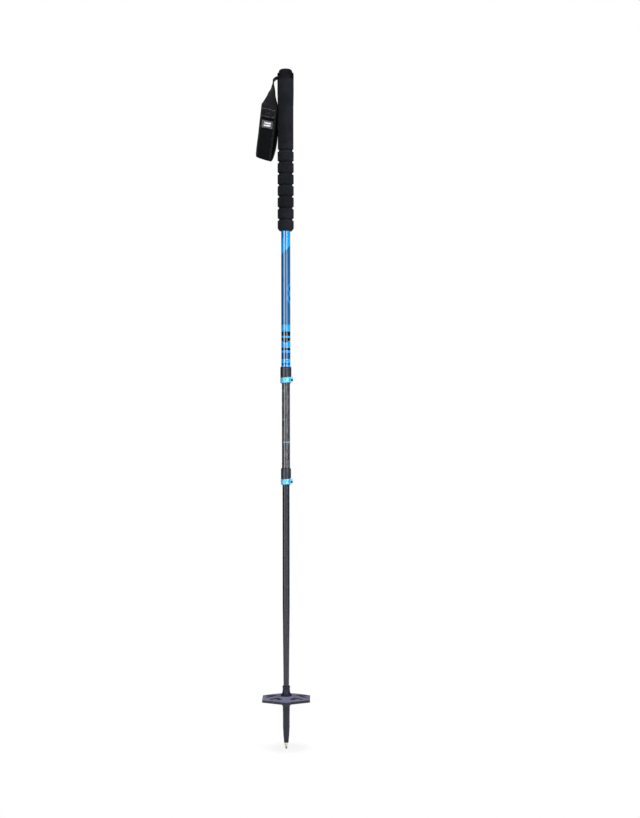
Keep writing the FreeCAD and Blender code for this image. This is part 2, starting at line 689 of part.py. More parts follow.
def make_lock(which, foot, height, radius, seat, tube_radius, inner_radius, pivot_across):
    """Clamp collar with ears, wear plate, barrel pin, screw and cam lever.

    The outer tube sits in the collar's upper bore; the jaw below it grips the inner tube.
    """
    top = foot + height
    seat_level = top - seat
    jaw = inner_radius + S.guide_gap
    waist = radius - S.waist_depth
    middle = foot + S.lever_lift + S.lever_height * 0.5
    slant = Rotation(Vector(0, 1, 0), -S.lever_slant.value)
    wide = as_size(SLAB)
    root = waist * 0.8

    # collar
    blank = turned_part(f"{which}_collar_blank", [
        (jaw, foot),
        (radius - S.collar_foot_edge, foot),
        (radius, foot + S.collar_foot_edge),
        (radius, top - S.collar_edge),
        (radius - S.collar_edge * 0.29, top - S.collar_edge * 0.29),
        (radius - S.collar_edge, top),
        (tube_radius, top),
        (tube_radius, seat_level),
        (jaw, seat_level),
    ])
    shoulder = foot + S.lever_lift + S.lever_height + S.face_gap
    slab = box(
        f"{which}_waist_slab",
        (wide, wide, wide),
        slab_corner(shoulder, -wide, S.lever_slant.value),
        slant,
    )
    core = cylinder(f"{which}_waist_core", waist, height + BEYOND * 2, (ZERO, ZERO, foot - BEYOND))
    waist_tool = cut(f"{which}_waist_tool", slab, core)
    waisted = cut(f"{which}_collar_waisted", blank, waist_tool)
    relief_rise = pivot_across * math.tan(math.radians(S.lever_slant.value)) + S.cam_relief
    relief = cylinder(
        f"{which}_cam_relief",
        S.boss_radius + S.cam_throw + S.relief_gap,
        shoulder - middle + relief_rise,
        (pivot_across, -S.pivot_forward, middle),
    )
    relieved = cut(f"{which}_collar_relieved", waisted, relief)
    ear_foot = foot + S.lever_lift + S.ear_lift
    ear_height = S.lever_height - S.ear_lift - S.ear_drop
    ears = box(
        f"{which}_ears",
        (pivot_across + S.ear_reach - root, S.ear_face * 2, ear_height),
        (root, -S.ear_face, ear_foot),
    )
    eared = fuse(f"{which}_collar_eared", relieved, ears)
    bore = cylinder(f"{which}_jaw_bore", jaw, seat_level - foot + OVERRUN, (ZERO, ZERO, foot - OVERRUN))
    bored = cut(f"{which}_collar_bored", eared, bore)
    slit = box(
        f"{which}_slit",
        (pivot_across + S.ear_reach + OVERRUN, S.ear_gap * 2, seat_level - S.slit_stop - foot + OVERRUN),
        (ZERO, -S.ear_gap, foot - OVERRUN),
    )
    split = cut(f"{which}_collar_split", bored, slit)
    along_y = Rotation(Vector(1, 0, 0), -90)
    hole = cylinder(
        f"{which}_screw_hole",
        S.screw_hole,
        S.ear_face * 2 + OVERRUN * 2,
        (pivot_across, -S.ear_face - OVERRUN, middle),
        along_y,
    )
    drilled = cut(f"{which}_collar_drilled", split, hole)
    spotface = cylinder(
        f"{which}_spotface",
        S.screw_head + S.head_gap,
        S.screw_head_height + OVERRUN,
        (pivot_across, S.ear_face, middle),
        along_y,
    )
    keep(cut(f"{which}_collar_spotfaced", drilled, spotface), f"{which}_lock_collar")

    # wear plate between the ears and the cam
    plate_face = S.pivot_forward - S.cam_throw - S.boss_radius - S.cam_gap
    plate_start = waist + S.plate_gap
    plate_blank = box(
        f"{which}_plate_blank",
        (pivot_across + S.ear_reach - plate_start, plate_face - S.ear_face, ear_height - S.plate_inset * 2),
        (plate_start, -plate_face, ear_foot + S.plate_inset),
    )
    plate_hole = cylinder(
        f"{which}_plate_hole",
        S.screw_hole,
        plate_face - S.ear_face + OVERRUN * 2,
        (pivot_across, -plate_face - OVERRUN, middle),
        along_y,
    )
    keep(cut(f"{which}_plate_drilled", plate_blank, plate_hole), f"{which}_lock_plate")

    # barrel pin, cross-drilled for the screw
    pin_height = S.lever_height - S.pin_inset * 2
    pin_blank = cylinder(
        f"{which}_pin_blank",
        S.pin_radius,
        pin_height,
        (pivot_across, -S.pivot_forward, middle - pin_height * 0.5),
    )
    pin_hole = cylinder(
        f"{which}_pin_hole",
        S.screw_radius,
        S.pin_radius + OVERRUN,
        (pivot_across, -S.pivot_forward, middle),
        along_y,
    )
    keep(cut(f"{which}_pin_drilled", pin_blank, pin_hole), f"{which}_lock_pin")

    # screw, with a socket in its head
    shaft = cylinder(
        f"{which}_screw_shaft",
        S.screw_radius,
        S.pivot_forward + S.ear_face,
        (pivot_across, -S.pivot_forward, middle),
        along_y,
    )
    head = cylinder(
        f"{which}_screw_head",
        S.screw_head,
        S.screw_head_height,
        (pivot_across, S.ear_face, middle),
        along_y,
    )
    socket = doc.addObject("Part::Prism", f"{which}_screw_socket")
    socket.Polygon = 6
    bind(socket, "Circumradius", S.screw_head * 0.52)
    bind(socket, "Height", S.screw_head_height)
    set_place(socket, (pivot_across, S.ear_face + S.screw_floor, middle), along_y)
    whole = fuse(f"{which}_screw_whole", shaft, head)
    keep(cut(f"{which}_screw_socketed", whole, socket), f"{which}_lock_screw")

    # lever: a band round the waist, joined to the cam
    band_inner = waist + S.waist_gap
    band_outer = band_inner + S.lever_thick
    tall = S.lever_height + BEYOND
    low = middle - tall * 0.5
    cam_y = S.cam_throw - S.pivot_forward
    sweep = as_size(360) + direction(pivot_across, cam_y) - S.lever_merge - S.lever_start
    band_turn = Rotation(Vector(0, 0, 1), S.lever_start.value)
    band_full = cylinder(
        f"{which}_band_full",
        band_outer,
        tall,
        (ZERO, ZERO, low),
        band_turn,
        sweep,
    )
    band_core = cylinder(f"{which}_band_core", band_inner, tall + OVERRUN * 2, (ZERO, ZERO, low - OVERRUN))
    band = cut(f"{which}_band", band_full, band_core)
    cam = cylinder(f"{which}_cam", S.boss_radius, tall, (pivot_across, cam_y, low))
    slab_height = S.lever_height * math.cos(math.radians(S.lever_slant.value))
    cam_slab = box(
        f"{which}_cam_slab",
        (wide, wide, slab_height),
        slab_corner(foot + S.lever_lift, ZERO, S.lever_slant.value),
        slant,
    )
    band_slab = box(
        f"{which}_band_slab",
        (wide, wide, slab_height - S.band_inset * 2),
        slab_corner(foot + S.lever_lift + S.band_inset, ZERO, S.lever_slant.value),
        slant,
    )
    band_trimmed = common(f"{which}_band_trimmed", band, band_slab)
    band_rounded = rounded(
        f"{which}_band_rounded",
        band_trimmed,
        S.lever_edge,
        lambda edge: band_rim(edge, band_inner.value),
    )
    cam_trimmed = common(f"{which}_cam_trimmed", cam, cam_slab)
    joined = fuse(f"{which}_lever_joined", band_rounded, cam_trimmed)
    pivot_bore = cylinder(
        f"{which}_pivot_bore",
        S.pin_radius + S.pin_gap,
        tall + OVERRUN * 2,
        (pivot_across, -S.pivot_forward, low - OVERRUN),
    )
    bored_lever = cut(f"{which}_lever_bored", joined, pivot_bore)
    notch = cylinder(
        f"{which}_lever_notch",
        S.boss_radius + S.cam_throw + OVERRUN * 2,
        S.notch_height,
        (pivot_across, -S.pivot_forward, middle - S.notch_height * 0.5),
        Rotation(Vector(0, 0, 1), S.notch_start.value),
        S.notch_sweep,
    )
    keep(cut(f"{which}_lever_notched", bored_lever, notch), f"{which}_lock_lever")


def band_rim(edge, inner):
    """True for the upper and lower edges on the outside of the lever's band."""
    long_and_flat = edge.Length > 5 and edge.BoundBox.ZLength < 2.5
    middle = edge.valueAt(edge.FirstParameter * 0.5 + edge.LastParameter * 0.5)
    outside = math.hypot(middle.x, middle.y) > inner + S.lever_thick.value * 0.4
    return long_and_flat and outside and middle.x < 0


def slab_corner(level, drop, degrees):
    """Corner of a slab, tilted about Y, whose lower (or upper) face crosses the axis at a level."""
    tilt = math.radians(degrees)
    half = SLAB / 2
    lean_x = half * math.cos(tilt)
    lean_z = half * math.sin(tilt)
    down = as_size(drop)
    return (
        as_size(-lean_x) - down * math.sin(tilt),
        as_size(-half),
        level - lean_z + down * math.cos(tilt),
    )


def turned_part(name, corners):
    """A turned blank that later cuts use; it is not a sub-part by itself."""
    body = doc.addObject("PartDesign::Body", name)
    turn(body, name, corners)
    return body


# ---------------------------------------------------------------- grip


def foam_groove_half(level, side, outer):
    """Corners of half a groove at the end of a foam sleeve; side is +1 above the level, -1 below it."""
    return [
        (S.groove_radius, level),
        (S.groove_radius, level + S.groove_floor * (0.5 * side)),
        (outer, level + S.groove_mouth * (0.5 * side)),
    ]


def make_foam_lower():
    """Ringed foam sleeve with seven grooves, the top one shared with the sleeve above."""
    outer = S.foam_lower_radius
    top_half = foam_groove_half(foam_seam, -1, outer)
    body = turned("foam_lower", [
        (S.upper_radius, foam_foot_level),
        (S.foam_foot, foam_foot_level),
        (outer - S.foam_edge * 0.67, foam_foot_level + S.foam_bevel - S.foam_edge),
        (outer, foam_foot_level + S.foam_bevel),
        top_half[2],
        top_half[1],
        top_half[0],
        (S.upper_radius, foam_seam),
    ])
    level = foam_seam - S.groove_pitch
    sketch = new_sketch(body, "XZ_Plane", "groove_outline")
    closed_outline(sketch, [
        (S.groove_radius, level - S.groove_floor * 0.5),
        (outer + OVERRUN, level - S.groove_mouth * 0.5 - S.groove_floor * 0.2),
        (outer + OVERRUN, level + S.groove_mouth * 0.5 + S.groove_floor * 0.2),
        (S.groove_radius, level + S.groove_floor * 0.5),
    ])
    groove = body.newObject("PartDesign::Groove", "groove")
    groove.Profile = sketch
    groove.ReferenceAxis = (sketch, ["V_Axis"])
    groove.Angle = 360.0
    body.Tip = groove
    doc.recompute()
    ringed = S.foam_lower_length - S.foam_bevel - S.groove_mouth
    count = int(ringed.value / S.groove_pitch.value)
    row = body.newObject("PartDesign::LinearPattern", "groove_row")
    row.Originals = [groove]
    row.Direction = (sketch, ["V_Axis"])
    row.Reversed = True
    bind(row, "Length", S.groove_pitch * (count - 1))
    row.Occurrences = count
    body.Tip = row


def make_foam_upper():
    """Smooth foam sleeve that swells a little below the head."""
    lower = S.foam_upper_radius
    upper = lower + S.foam_swell
    half = foam_groove_half(foam_seam, 1, lower)
    turned("foam_upper", [
        (S.upper_radius, foam_seam),
        half[0],
        half[1],
        half[2],
        (lower, foam_seam + S.foam_upper_length * 0.587),
        (lower + S.foam_swell * 0.5, foam_seam + S.foam_upper_length * 0.7),
        (upper, foam_seam + S.foam_upper_length * 0.81),
        (upper, head_foot),
        (S.upper_radius, head_foot),
    ])


def strap_slot_level():
    return head_foot + S.slot_level


def make_grip_head():
    """Head: ring over the foam, plug inside the tube, and a slot and a cross hole for the strap."""
    outer = S.foam_upper_radius + S.foam_swell
    inside = S.upper_radius - S.tube_wall
    spigot = S.cap_radius - S.cap_wall
    body = turned("grip_head", [
        (ZERO, upper_tube_top - S.head_plug),
        (inside - S.spigot_edge, upper_tube_top - S.head_plug),
        (inside, upper_tube_top - S.head_plug + S.spigot_edge),
        (inside, upper_tube_top),
        (S.upper_radius, upper_tube_top),
        (S.upper_radius, head_foot),
        (outer, head_foot),
        (outer, head_top - S.head_edge),
        (outer - S.head_edge * 0.36, head_top - S.head_edge * 0.29),
        (outer - S.head_edge, head_top),
        (spigot, head_top),
        (spigot, head_top + S.head_spigot - S.spigot_edge),
        (spigot - S.spigot_edge, head_top + S.head_spigot),
        (ZERO, head_top + S.head_spigot),
    ])
    # slot for the webbing, open towards -X
    deep = S.slot_past_axis
    slot = new_sketch(body, "XZ_Plane", "strap_slot_outline")
    level = strap_slot_level()
    half = S.strap_slot * 0.5
    closed_outline(slot, [
        (-outer - OVERRUN, level - half),
        (deep, level - half),
        (deep, level + half),
        (-outer - OVERRUN, level + half),
    ])
    pocket = body.newObject("PartDesign::Pocket", "strap_slot")
    pocket.Profile = slot
    pocket.Midplane = True
    bind(pocket, "Length", S.web_width + S.slot_side_gap * 2)
    body.Tip = pocket
    hole = new_sketch(body, "XZ_Plane", "cross_hole_outline")
    hole.addGeometry(Part.Circle(Vector(0, level.value, 0), Vector(0, 0, 1), S.strap_pin_radius.value), False)
    place_point(hole, 0, 3, ZERO, level)
    number = hole.addConstraint(Sketcher.Constraint("Radius", 0, S.strap_pin_radius.value))
    hole.setExpression(f"Constraints[{number}]", S.strap_pin_radius.formula)
    drilling = body.newObject("PartDesign::Pocket", "cross_hole")
    drilling.Profile = hole
    drilling.Midplane = True
    bind(drilling, "Length", S.web_width + S.pin_past_web * 2)
    body.Tip = drilling


def make_grip_cap():
    """Domed cap over the head's spigot."""
    spigot = S.cap_radius - S.cap_wall
    outer = S.foam_upper_radius + S.foam_swell
    body = turned("grip_cap", [
        (spigot, head_top),
        (outer - S.head_edge * 1.07, head_top),
        (S.cap_radius + S.cap_flare, head_top + S.cap_flare_height * 0.5),
        (S.cap_radius, head_top + S.cap_flare_height),
        (S.cap_radius, cap_top - S.cap_crown),
        (S.cap_radius * 0.5, cap_top),
        (ZERO, cap_top),
        (ZERO, head_top + S.head_spigot),
        (spigot - S.spigot_edge, head_top + S.head_spigot),
        (spigot, head_top + S.head_spigot - S.spigot_edge),
    ])
    round_turned(body, "cap_rounding", S.cap_round, cap_top - S.cap_crown, S.cap_radius)


def make_strap_hardware():
    """Cross pin and wedge inside the head."""
    level = strap_slot_level()
    along_y = Rotation(Vector(1, 0, 0), -90)
    length = S.web_width + S.pin_past_web * 2
    pin = cylinder("strap_pin_rod", S.strap_pin_radius, length, (ZERO, -length * 0.5, level), along_y)
    keep(pin, "strap_pin")
    wide = S.web_width - S.wedge_margin * 2
    wedge = doc.addObject("Part::Wedge", "strap_wedge_block")
    wedge.Ymin = 0
    wedge.Zmin = 0
    wedge.Z2min = 0
    bind(wedge, "Xmin", -S.wedge_out)
    bind(wedge, "Xmax", S.wedge_length - S.wedge_out)
    bind(wedge, "X2min", S.wedge_taper - S.wedge_out)
    bind(wedge, "X2max", S.wedge_length - S.wedge_out)
    bind(wedge, "Ymax", S.strap_slot * 0.5 - S.web_thick)
    bind(wedge, "Zmax", wide)
    bind(wedge, "Z2max", wide)
    set_place(wedge, (ZERO, wide * 0.5, level + S.web_thick), Rotation(Vector(1, 0, 0), 90))
    keep(wedge, "strap_wedge")


# ---------------------------------------------------------------- wrist strap

# Stations of the strap, measured from the mouth of the slot in the head. Each has the centre's x and z
# offsets, y, how far the width has turned from front-to-back to left-to-right, the tilt of the width,
# and the pitch of the face (0 upright, 90 lying flat, 180 upright and facing the other way).


def ribbon(stations, width, thick):
    """A solid band through stations of (centre, turn, tilt, pitch, width share)."""
    wires = []
    for centre, turn_deg, tilt_deg, pitch_deg, share in stations:
        half = width * share * 0.5
        turn_by = Rotation(Vector(0, 0, 1), turn_deg)
        tilt_by = Rotation(Vector(0, 1, 0), tilt_deg)
        # unturned: the width lies along Y and the face looks towards -X
        along = Vector(0, -1, 0)
        facing = Rotation(Vector(0, 1, 0), pitch_deg).multVec(Vector(-1, 0, 0))
        along = tilt_by.multVec(turn_by.multVec(along))
        facing = tilt_by.multVec(turn_by.multVec(facing))
        out = facing * (thick * 0.5)
        edge = along * half
        corners = [centre - edge - out, centre + edge - out, centre + edge + out, centre - edge + out]
        wires.append(Part.makePolygon(corners + corners[:1]))
    return Part.makeLoft(wires, True, True)


def strap_piece(label, shape):
    if shape.Volume < 0:
        shape.reverse()
    thing = doc.addObject("Part::Feature", label + "_solid")
    thing.Shape = shape
    thing.Placement = Placement()
    keep(thing, label)


def make_strap():
    mouth_x = -(S.foam_upper_radius.value + S.foam_swell.value)
    mouth_z = strap_slot_level().value
    web = S.web_width.value
    layer = S.web_thick.value
    band = S.band_width.value
    pad = S.band_thick.value
    pin = S.strap_pin_radius.value

    def at(dx, y, dz):
        return Vector(mouth_x + dx, y, mouth_z + dz)

    # inside the head: both layers flat, round the cross pin
    slab = Part.makeBox(-mouth_x, web, 2 * layer, Vector(mouth_x, -web / 2, mouth_z - layer))
    eye_radius = S.strap_slot.value / 2 - S.eye_gap.value
    eye = Part.makeCylinder(eye_radius, web, Vector(0, -web / 2, mouth_z), Vector(0, 1, 0))
    lip = ribbon([
        (at(0, 0, 0), 0, 0, 90, 1),
        (at(-1.7, 0, -0.6), 0, 0, 72, 1),
    ], web, 2 * layer)
    rod = Part.makeCylinder(pin, web + OVERRUN * 2, Vector(0, -web / 2 - OVERRUN, mouth_z), Vector(0, 1, 0))
    strap_piece("strap_root", slab.fuse([lip, eye]).removeSplitter().cut(rod))

    # outside: both layers together, turning to face the front as they hang
    strap_piece("strap_neck", ribbon([
        (at(-6.0, 0, -3.4), 0, 0, 52, 1),
        (at(-7.3, 0, -5.0), 0, 0, 30, 1),
        (at(-8.1, 0, -8.4), 2, 0, 6, 1),
        (at(-8.6, 0, -12.0), 7, 0, 0, 1),
        (at(-9.1, 0, -16.0), 11, 0, 0, 1),
        (at(-9.4, 0, -19.5), 16, 0, 0, 1),
    ], web, 2 * layer))

    strap_piece("strap_front", ribbon([
        (at(-9.4 - layer * 0.5, 0, -19.8), 16, 0, 0, 1),
        (at(-11.1 - layer * 0.5, -1.2, -26.0), 26, 3, 0, 1.08),
        (at(-12.2, -2.8, -34.0), 38, 6, 0, 1.17),
        (at(-13.5, -4.6, -42.0), 50, 9, 0, 1.27),
        (at(-15.0, -7.2, -51.0), 65, 12, 0, 1.37),
        (at(-15.8, -9.6, -57.5), 88, 13, 0, 1.42),
    ], web, layer))
    strap_piece("strap_back", ribbon([
        (at(-9.4 + layer * 0.5, 0, -19.8), 16, 0, 0, 1),
        (at(-9.7 + layer * 0.5, 2.6, -27.0), 24, 3, 0, 1.06),
        (at(-10.9, 5.0, -34.5), 34, 5, 0, 1.13),
        (at(-12.6, 7.6, -41.5), 50, 6, 0, 1.22),
        (at(-13.7, 10.2, -49.5), 74, 6, 0, 1.30),
        (at(-13.4, 10.4, -60.5), 88, 6, 0, 1.35),
        (at(-13.5, 10.2, -76.5), 90, 5, 0, 1.35),
        (at(-13.7, 10.0, -92.5), 90, 4, 0, 1.35),
        (at(-14.1, 9.8, -108.0), 90, 4, 0, 1.35),
    ], web, layer))

    # padded band: down the front, round the bottom, a short way up the back
    strap_piece("strap_band", ribbon([
        (at(-16.0, -10.0, -57.8), 89, 13, 0, 0.96),
        (at(-17.2, -10.8, -70.5), 90, 13, 0, 1),
        (at(-19.6, -11.4, -91.0), 90, 11, 0, 1),
        (at(-22.2, -11.4, -115.0), 90, 10, 0, 1),
        (at(-24.8, -11.0, -134.5), 90, 11, 0, 1),
        (at(-26.8, -9.6, -150.5), 90, 15, 12, 1),
        (at(-27.6, -6.6, -157.5), 90, 18, 42, 1),
        (at(-27.2, -1.6, -160.8), 90, 18, 82, 1),
        (at(-25.4, 3.8, -158.7), 90, 15, 125, 1),
        (at(-22.8, 7.6, -152.0), 90, 12, 160, 1),
        (at(-18.9, 9.4, -138.5), 90, 8, 176, 1),
        (at(-16.2, 9.8, -122.5), 90, 6, 180, 1),
        (at(-14.6, 9.8, -108.3), 90, 4, 180, 0.97),
    ], band, pad))

    # sewn patch on the front of the band
    patch = S.label_width.value
    tall = S.label_height.value / 2
    thick = S.label_thick.value
    off_band = pad / 2 + thick / 2 + S.label_gap.value
    strap_piece("strap_label", ribbon([
        (at(-18.3, -11.2 - off_band, -92.0 + tall), 90, 8, 0, 1),
        (at(-20.2, -11.4 - off_band, -92.0 - tall), 90, 8, 0, 1),
    ], patch, thick))
    # sewn end tab on the back layer
    tab_thick = S.tab_thick.value
    off_back = layer / 2 + tab_thick / 2 + S.tab_gap.value
    strap_piece("strap_keeper", ribbon([
        (at(-13.6, 10.1 - off_back, -84.5), 90, 4, 0, 1),
        (at(-13.8, 9.95 - off_back, -96.5), 90, 4, 0, 1),
    ], S.tab_width.value, tab_thick))


# ---------------------------------------------------------------- build

make_carbide_tip()
make_tip_sleeve()
make_flex_tip()
make_basket()
make_lower_tube()
make_lower_guide()
make_middle_tube()
make_middle_guide()
make_upper_tube()
make_lock(
    "lower", lower_lock_foot, S.lower_lock_height, S.lower_lock_radius, S.lower_lock_seat,
    S.middle_radius, S.lower_radius, S.lower_pivot_across,
)
make_lock(
    "upper", upper_lock_foot, S.upper_lock_height, S.upper_lock_radius, S.upper_lock_seat,
    S.upper_radius, S.middle_radius, S.upper_pivot_across,
)
make_foam_lower()
make_foam_upper()
make_grip_head()
make_grip_cap()
make_strap_hardware()
make_strap()
doc.recompute()

# ---------------------------------------------------------------- check and write

failed = [thing.Name for thing in doc.Objects if {"Invalid", "Error"} & set(thing.State)]
if failed:
    raise RuntimeError("these objects failed: " + ", ".join(failed))
for piece in pieces:
    if piece.Shape.isNull() or not piece.Shape.isValid() or not piece.Shape.Solids:
        raise RuntimeError("bad shape: " + piece.Label)

os.makedirs("parts", exist_ok=True)
for piece in pieces:
    piece.Shape.exportStep(f"parts/{piece.Label}.step")
    solids = len(piece.Shape.Solids)
    print(f"{piece.Label}: {solids} solid(s), {piece.Shape.Volume:.1f} mm3")
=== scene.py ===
import json
import math

import bpy
import numpy as np
from mathutils import Matrix, Vector


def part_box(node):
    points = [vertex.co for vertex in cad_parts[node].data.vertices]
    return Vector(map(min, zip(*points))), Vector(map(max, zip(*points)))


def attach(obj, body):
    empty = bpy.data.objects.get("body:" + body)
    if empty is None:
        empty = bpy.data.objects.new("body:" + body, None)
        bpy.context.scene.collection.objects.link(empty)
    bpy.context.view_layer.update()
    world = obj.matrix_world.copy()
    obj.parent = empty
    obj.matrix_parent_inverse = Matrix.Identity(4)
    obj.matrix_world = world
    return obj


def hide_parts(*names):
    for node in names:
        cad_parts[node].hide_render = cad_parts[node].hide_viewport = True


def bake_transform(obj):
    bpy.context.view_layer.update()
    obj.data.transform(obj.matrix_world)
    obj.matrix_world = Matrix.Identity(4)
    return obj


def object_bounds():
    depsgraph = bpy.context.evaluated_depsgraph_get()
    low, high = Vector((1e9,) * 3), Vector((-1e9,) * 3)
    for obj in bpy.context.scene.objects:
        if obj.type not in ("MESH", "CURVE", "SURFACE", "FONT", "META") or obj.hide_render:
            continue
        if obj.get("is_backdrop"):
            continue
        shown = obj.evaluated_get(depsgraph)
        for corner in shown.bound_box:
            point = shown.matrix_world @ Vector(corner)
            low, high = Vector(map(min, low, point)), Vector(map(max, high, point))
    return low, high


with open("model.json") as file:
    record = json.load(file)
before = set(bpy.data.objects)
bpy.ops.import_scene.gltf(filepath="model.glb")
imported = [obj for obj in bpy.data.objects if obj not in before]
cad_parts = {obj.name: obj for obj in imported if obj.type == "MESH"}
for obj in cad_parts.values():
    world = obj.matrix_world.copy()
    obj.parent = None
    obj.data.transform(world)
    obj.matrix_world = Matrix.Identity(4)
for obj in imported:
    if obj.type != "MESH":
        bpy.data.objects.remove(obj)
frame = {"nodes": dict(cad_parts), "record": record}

# A three-section adjustable ski pole. Metres, +Z up the pole, origin at the end of the carbide point.
MM = 0.001
CAD_LOW, CAD_HIGH = (tuple(corner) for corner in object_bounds())


# ------------------------------------------------------------------ levels read off the frame

def low(node):
    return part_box(node)[0]


def high(node):
    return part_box(node)[1]


POLE_TOP = CAD_HIGH[2]
COLLAR_TOP = high("upper_lock_collar").z
HEAD_RADIUS = high("grip_head").x
SLOT_RISE = 3.5 * MM        # middle of the strap's slot above the foam
MOUTH = Vector((-HEAD_RADIUS, 0, high("foam_upper").z + SLOT_RISE))

# the wrist strap's sizes
WEB_LAYER = 1.3 * MM
WEB_WIDTH = 22 * MM         # at the slot; the courses widen it on the way down
BAND_WIDTH = 31.5 * MM
BAND_THICK = 3.2 * MM
BINDING = 0.86              # share of the band's half width at which its bound edge begins


# ------------------------------------------------------------------ studio

LENS = 68.2                 # focal length, millimetres
CAMERA_PLACE = (67.6 * MM, -3.0746, POLE_TOP / 2)
CAMERA_ROLL = 0.07          # degrees
CAMERA_REACH = 60
FLOOR_RADIUS = 1.35
FLOOR_DROP = 0.4 * MM       # the floor lies just below the point
AIM_SHARE = 0.62            # soft boxes face no higher than this share of the pole
ROOM_LIGHT = 0.05

SOFT_BOXES = (
    # name, place, (width, height), watts, lights matt surfaces, shows in glossy ones
    ("left_soft_box", (-1.80, -2.15, 0.8), (1.5, 2.6), 52, False, True),
    ("strip_light", (1.35, -2.45, 0.8), (0.95, 2.6), 33, False, True),
    ("front_fill", (0.6, -2.8, 0.9), (1.2, 2.0), 28, True, False),
    ("right_soft_box", (2.4, -1.2, 0.9), (0.8, 2.0), 62, True, False),
    ("top_light", (-0.1, -0.3, 3.0), (1.6, 1.2), 110, True, False),
)


def studio():
    """Camera level with the middle of the pole, a pale floor, and soft boxes around the front."""
    scene = bpy.context.scene
    lens = bpy.data.cameras.new("studio_camera")
    lens.lens = LENS
    lens.clip_end = CAMERA_REACH
    camera = bpy.data.objects.new("studio_camera", lens)
    camera.location = CAMERA_PLACE
    camera.rotation_euler = (math.radians(90), math.radians(CAMERA_ROLL), 0)
    scene.collection.objects.link(camera)
    scene.camera = camera

    bpy.ops.mesh.primitive_circle_add(
        vertices=96, radius=FLOOR_RADIUS, fill_type="NGON", location=(0, 0, -FLOOR_DROP)
    )
    floor = bpy.context.object
    floor.name = "studio_floor"
    floor.data.materials.append(pale_floor())
    floor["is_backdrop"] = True

    for box in SOFT_BOXES:
        soft_box(*box)

    world = bpy.data.worlds.new("white_sweep")
    scene.world = world
    world.use_nodes = True
    nodes, links = world.node_tree.nodes, world.node_tree.links
    nodes.clear()
    seen = nodes.new("ShaderNodeBackground")
    seen.inputs["Color"].default_value = (1, 1, 1, 1)
    seen.inputs["Strength"].default_value = 1.0
    lit = nodes.new("ShaderNodeBackground")
    lit.inputs["Color"].default_value = (0.93, 0.95, 1, 1)
    lit.inputs["Strength"].default_value = ROOM_LIGHT
    path = nodes.new("ShaderNodeLightPath")
    mix = nodes.new("ShaderNodeMixShader")
    out = nodes.new("ShaderNodeOutputWorld")
    links.new(path.outputs["Is Camera Ray"], mix.inputs[0])
    links.new(lit.outputs[0], mix.inputs[1])
    links.new(seen.outputs[0], mix.inputs[2])
    links.new(mix.outputs[0], out.inputs["Surface"])
    scene.view_settings.view_transform = "Standard"


def soft_box(name, place, size, power, diffuse, gloss):
    """A rectangular area light that faces the middle of the pole at its own height."""
    lamp = bpy.data.lights.new(name, "AREA")
    lamp.shape = "RECTANGLE"
    lamp.size, lamp.size_y = size
    lamp.energy = power
    box = bpy.data.objects.new(name, lamp)
    box.location = place
    box.visible_diffuse = diffuse
    box.visible_glossy = gloss
    aim = Vector((0, 0, min(place[2], POLE_TOP * AIM_SHARE))) - Vector(place)
    box.rotation_euler = aim.to_track_quat("-Z", "Y").to_euler()
    bpy.context.scene.collection.objects.link(box)


# ------------------------------------------------------------------ words for the material nodes

class Field:
    """A value that changes over a surface: one output of a node, with arithmetic."""

    def __init__(self, tree, socket):
        self.tree = tree
        self.socket = socket

    def op(self, kind, *others):
        node = self.tree.nodes.new("ShaderNodeMath")
        node.operation = kind
        for place, value in zip(node.inputs, (self,) + others):
            feed(self.tree, place, value)
        return Field(self.tree, node.outputs[0])

    def __add__(self, other):
        return self.op("ADD", other)

    def __sub__(self, other):
        return self.op("SUBTRACT", other)

    def __mul__(self, other):
        return self.op("MULTIPLY", other)

    def __truediv__(self, other):
        return self.op("DIVIDE", other)

    def wrapped(self, step):
        """Distance from the middle of a repeating step, -step/2 to +step/2."""
        return self.op("ADD", step / 2).op("FLOORED_MODULO", step) - step / 2

    def size(self):
        return self.op("ABSOLUTE")

    def sine(self):
        return self.op("SINE")

    def most(self, other):
        return self.op("MAXIMUM", other)

    def rest(self):
        """What is left of 1."""
        return self * -1.0 + 1.0

    def rise(self, start, end):
        """0 below start, 1 above end, smooth between."""
        node = self.tree.nodes.new("ShaderNodeMapRange")
        node.interpolation_type = "SMOOTHSTEP"
        feed(self.tree, node.inputs["Value"], self)
        feed(self.tree, node.inputs["From Min"], start)
        feed(self.tree, node.inputs["From Max"], end)
        return Field(self.tree, node.outputs["Result"])

    def within(self, bottom, top, soft=0.15 * MM):
        """1 between bottom and top, with soft edges."""
        return self.rise(bottom - soft, bottom + soft) * self.rise(top - soft, top + soft).rest()


def feed(tree, socket, value):
    if isinstance(value, Field):
        tree.links.new(value.socket, socket)
    elif isinstance(value, (tuple, list)):
        socket.default_value = tuple(value) + (1.0,) * (len(socket.default_value) - len(value))
    else:
        socket.default_value = value


def linear(red, green, blue):
    """A colour given in 0-255 screen values, as the renderer's linear values."""
    def one(value):
        share = value / 255
        return share / 12.92 if share <= 0.04045 else ((share + 0.055) / 1.055) ** 2.4
    return (one(red), one(green), one(blue), 1.0)


# the colour sockets of a mix node, whose names it shares with its other kinds of value
MIX_FIRST, MIX_SECOND, MIX_RESULT = 6, 7, 2


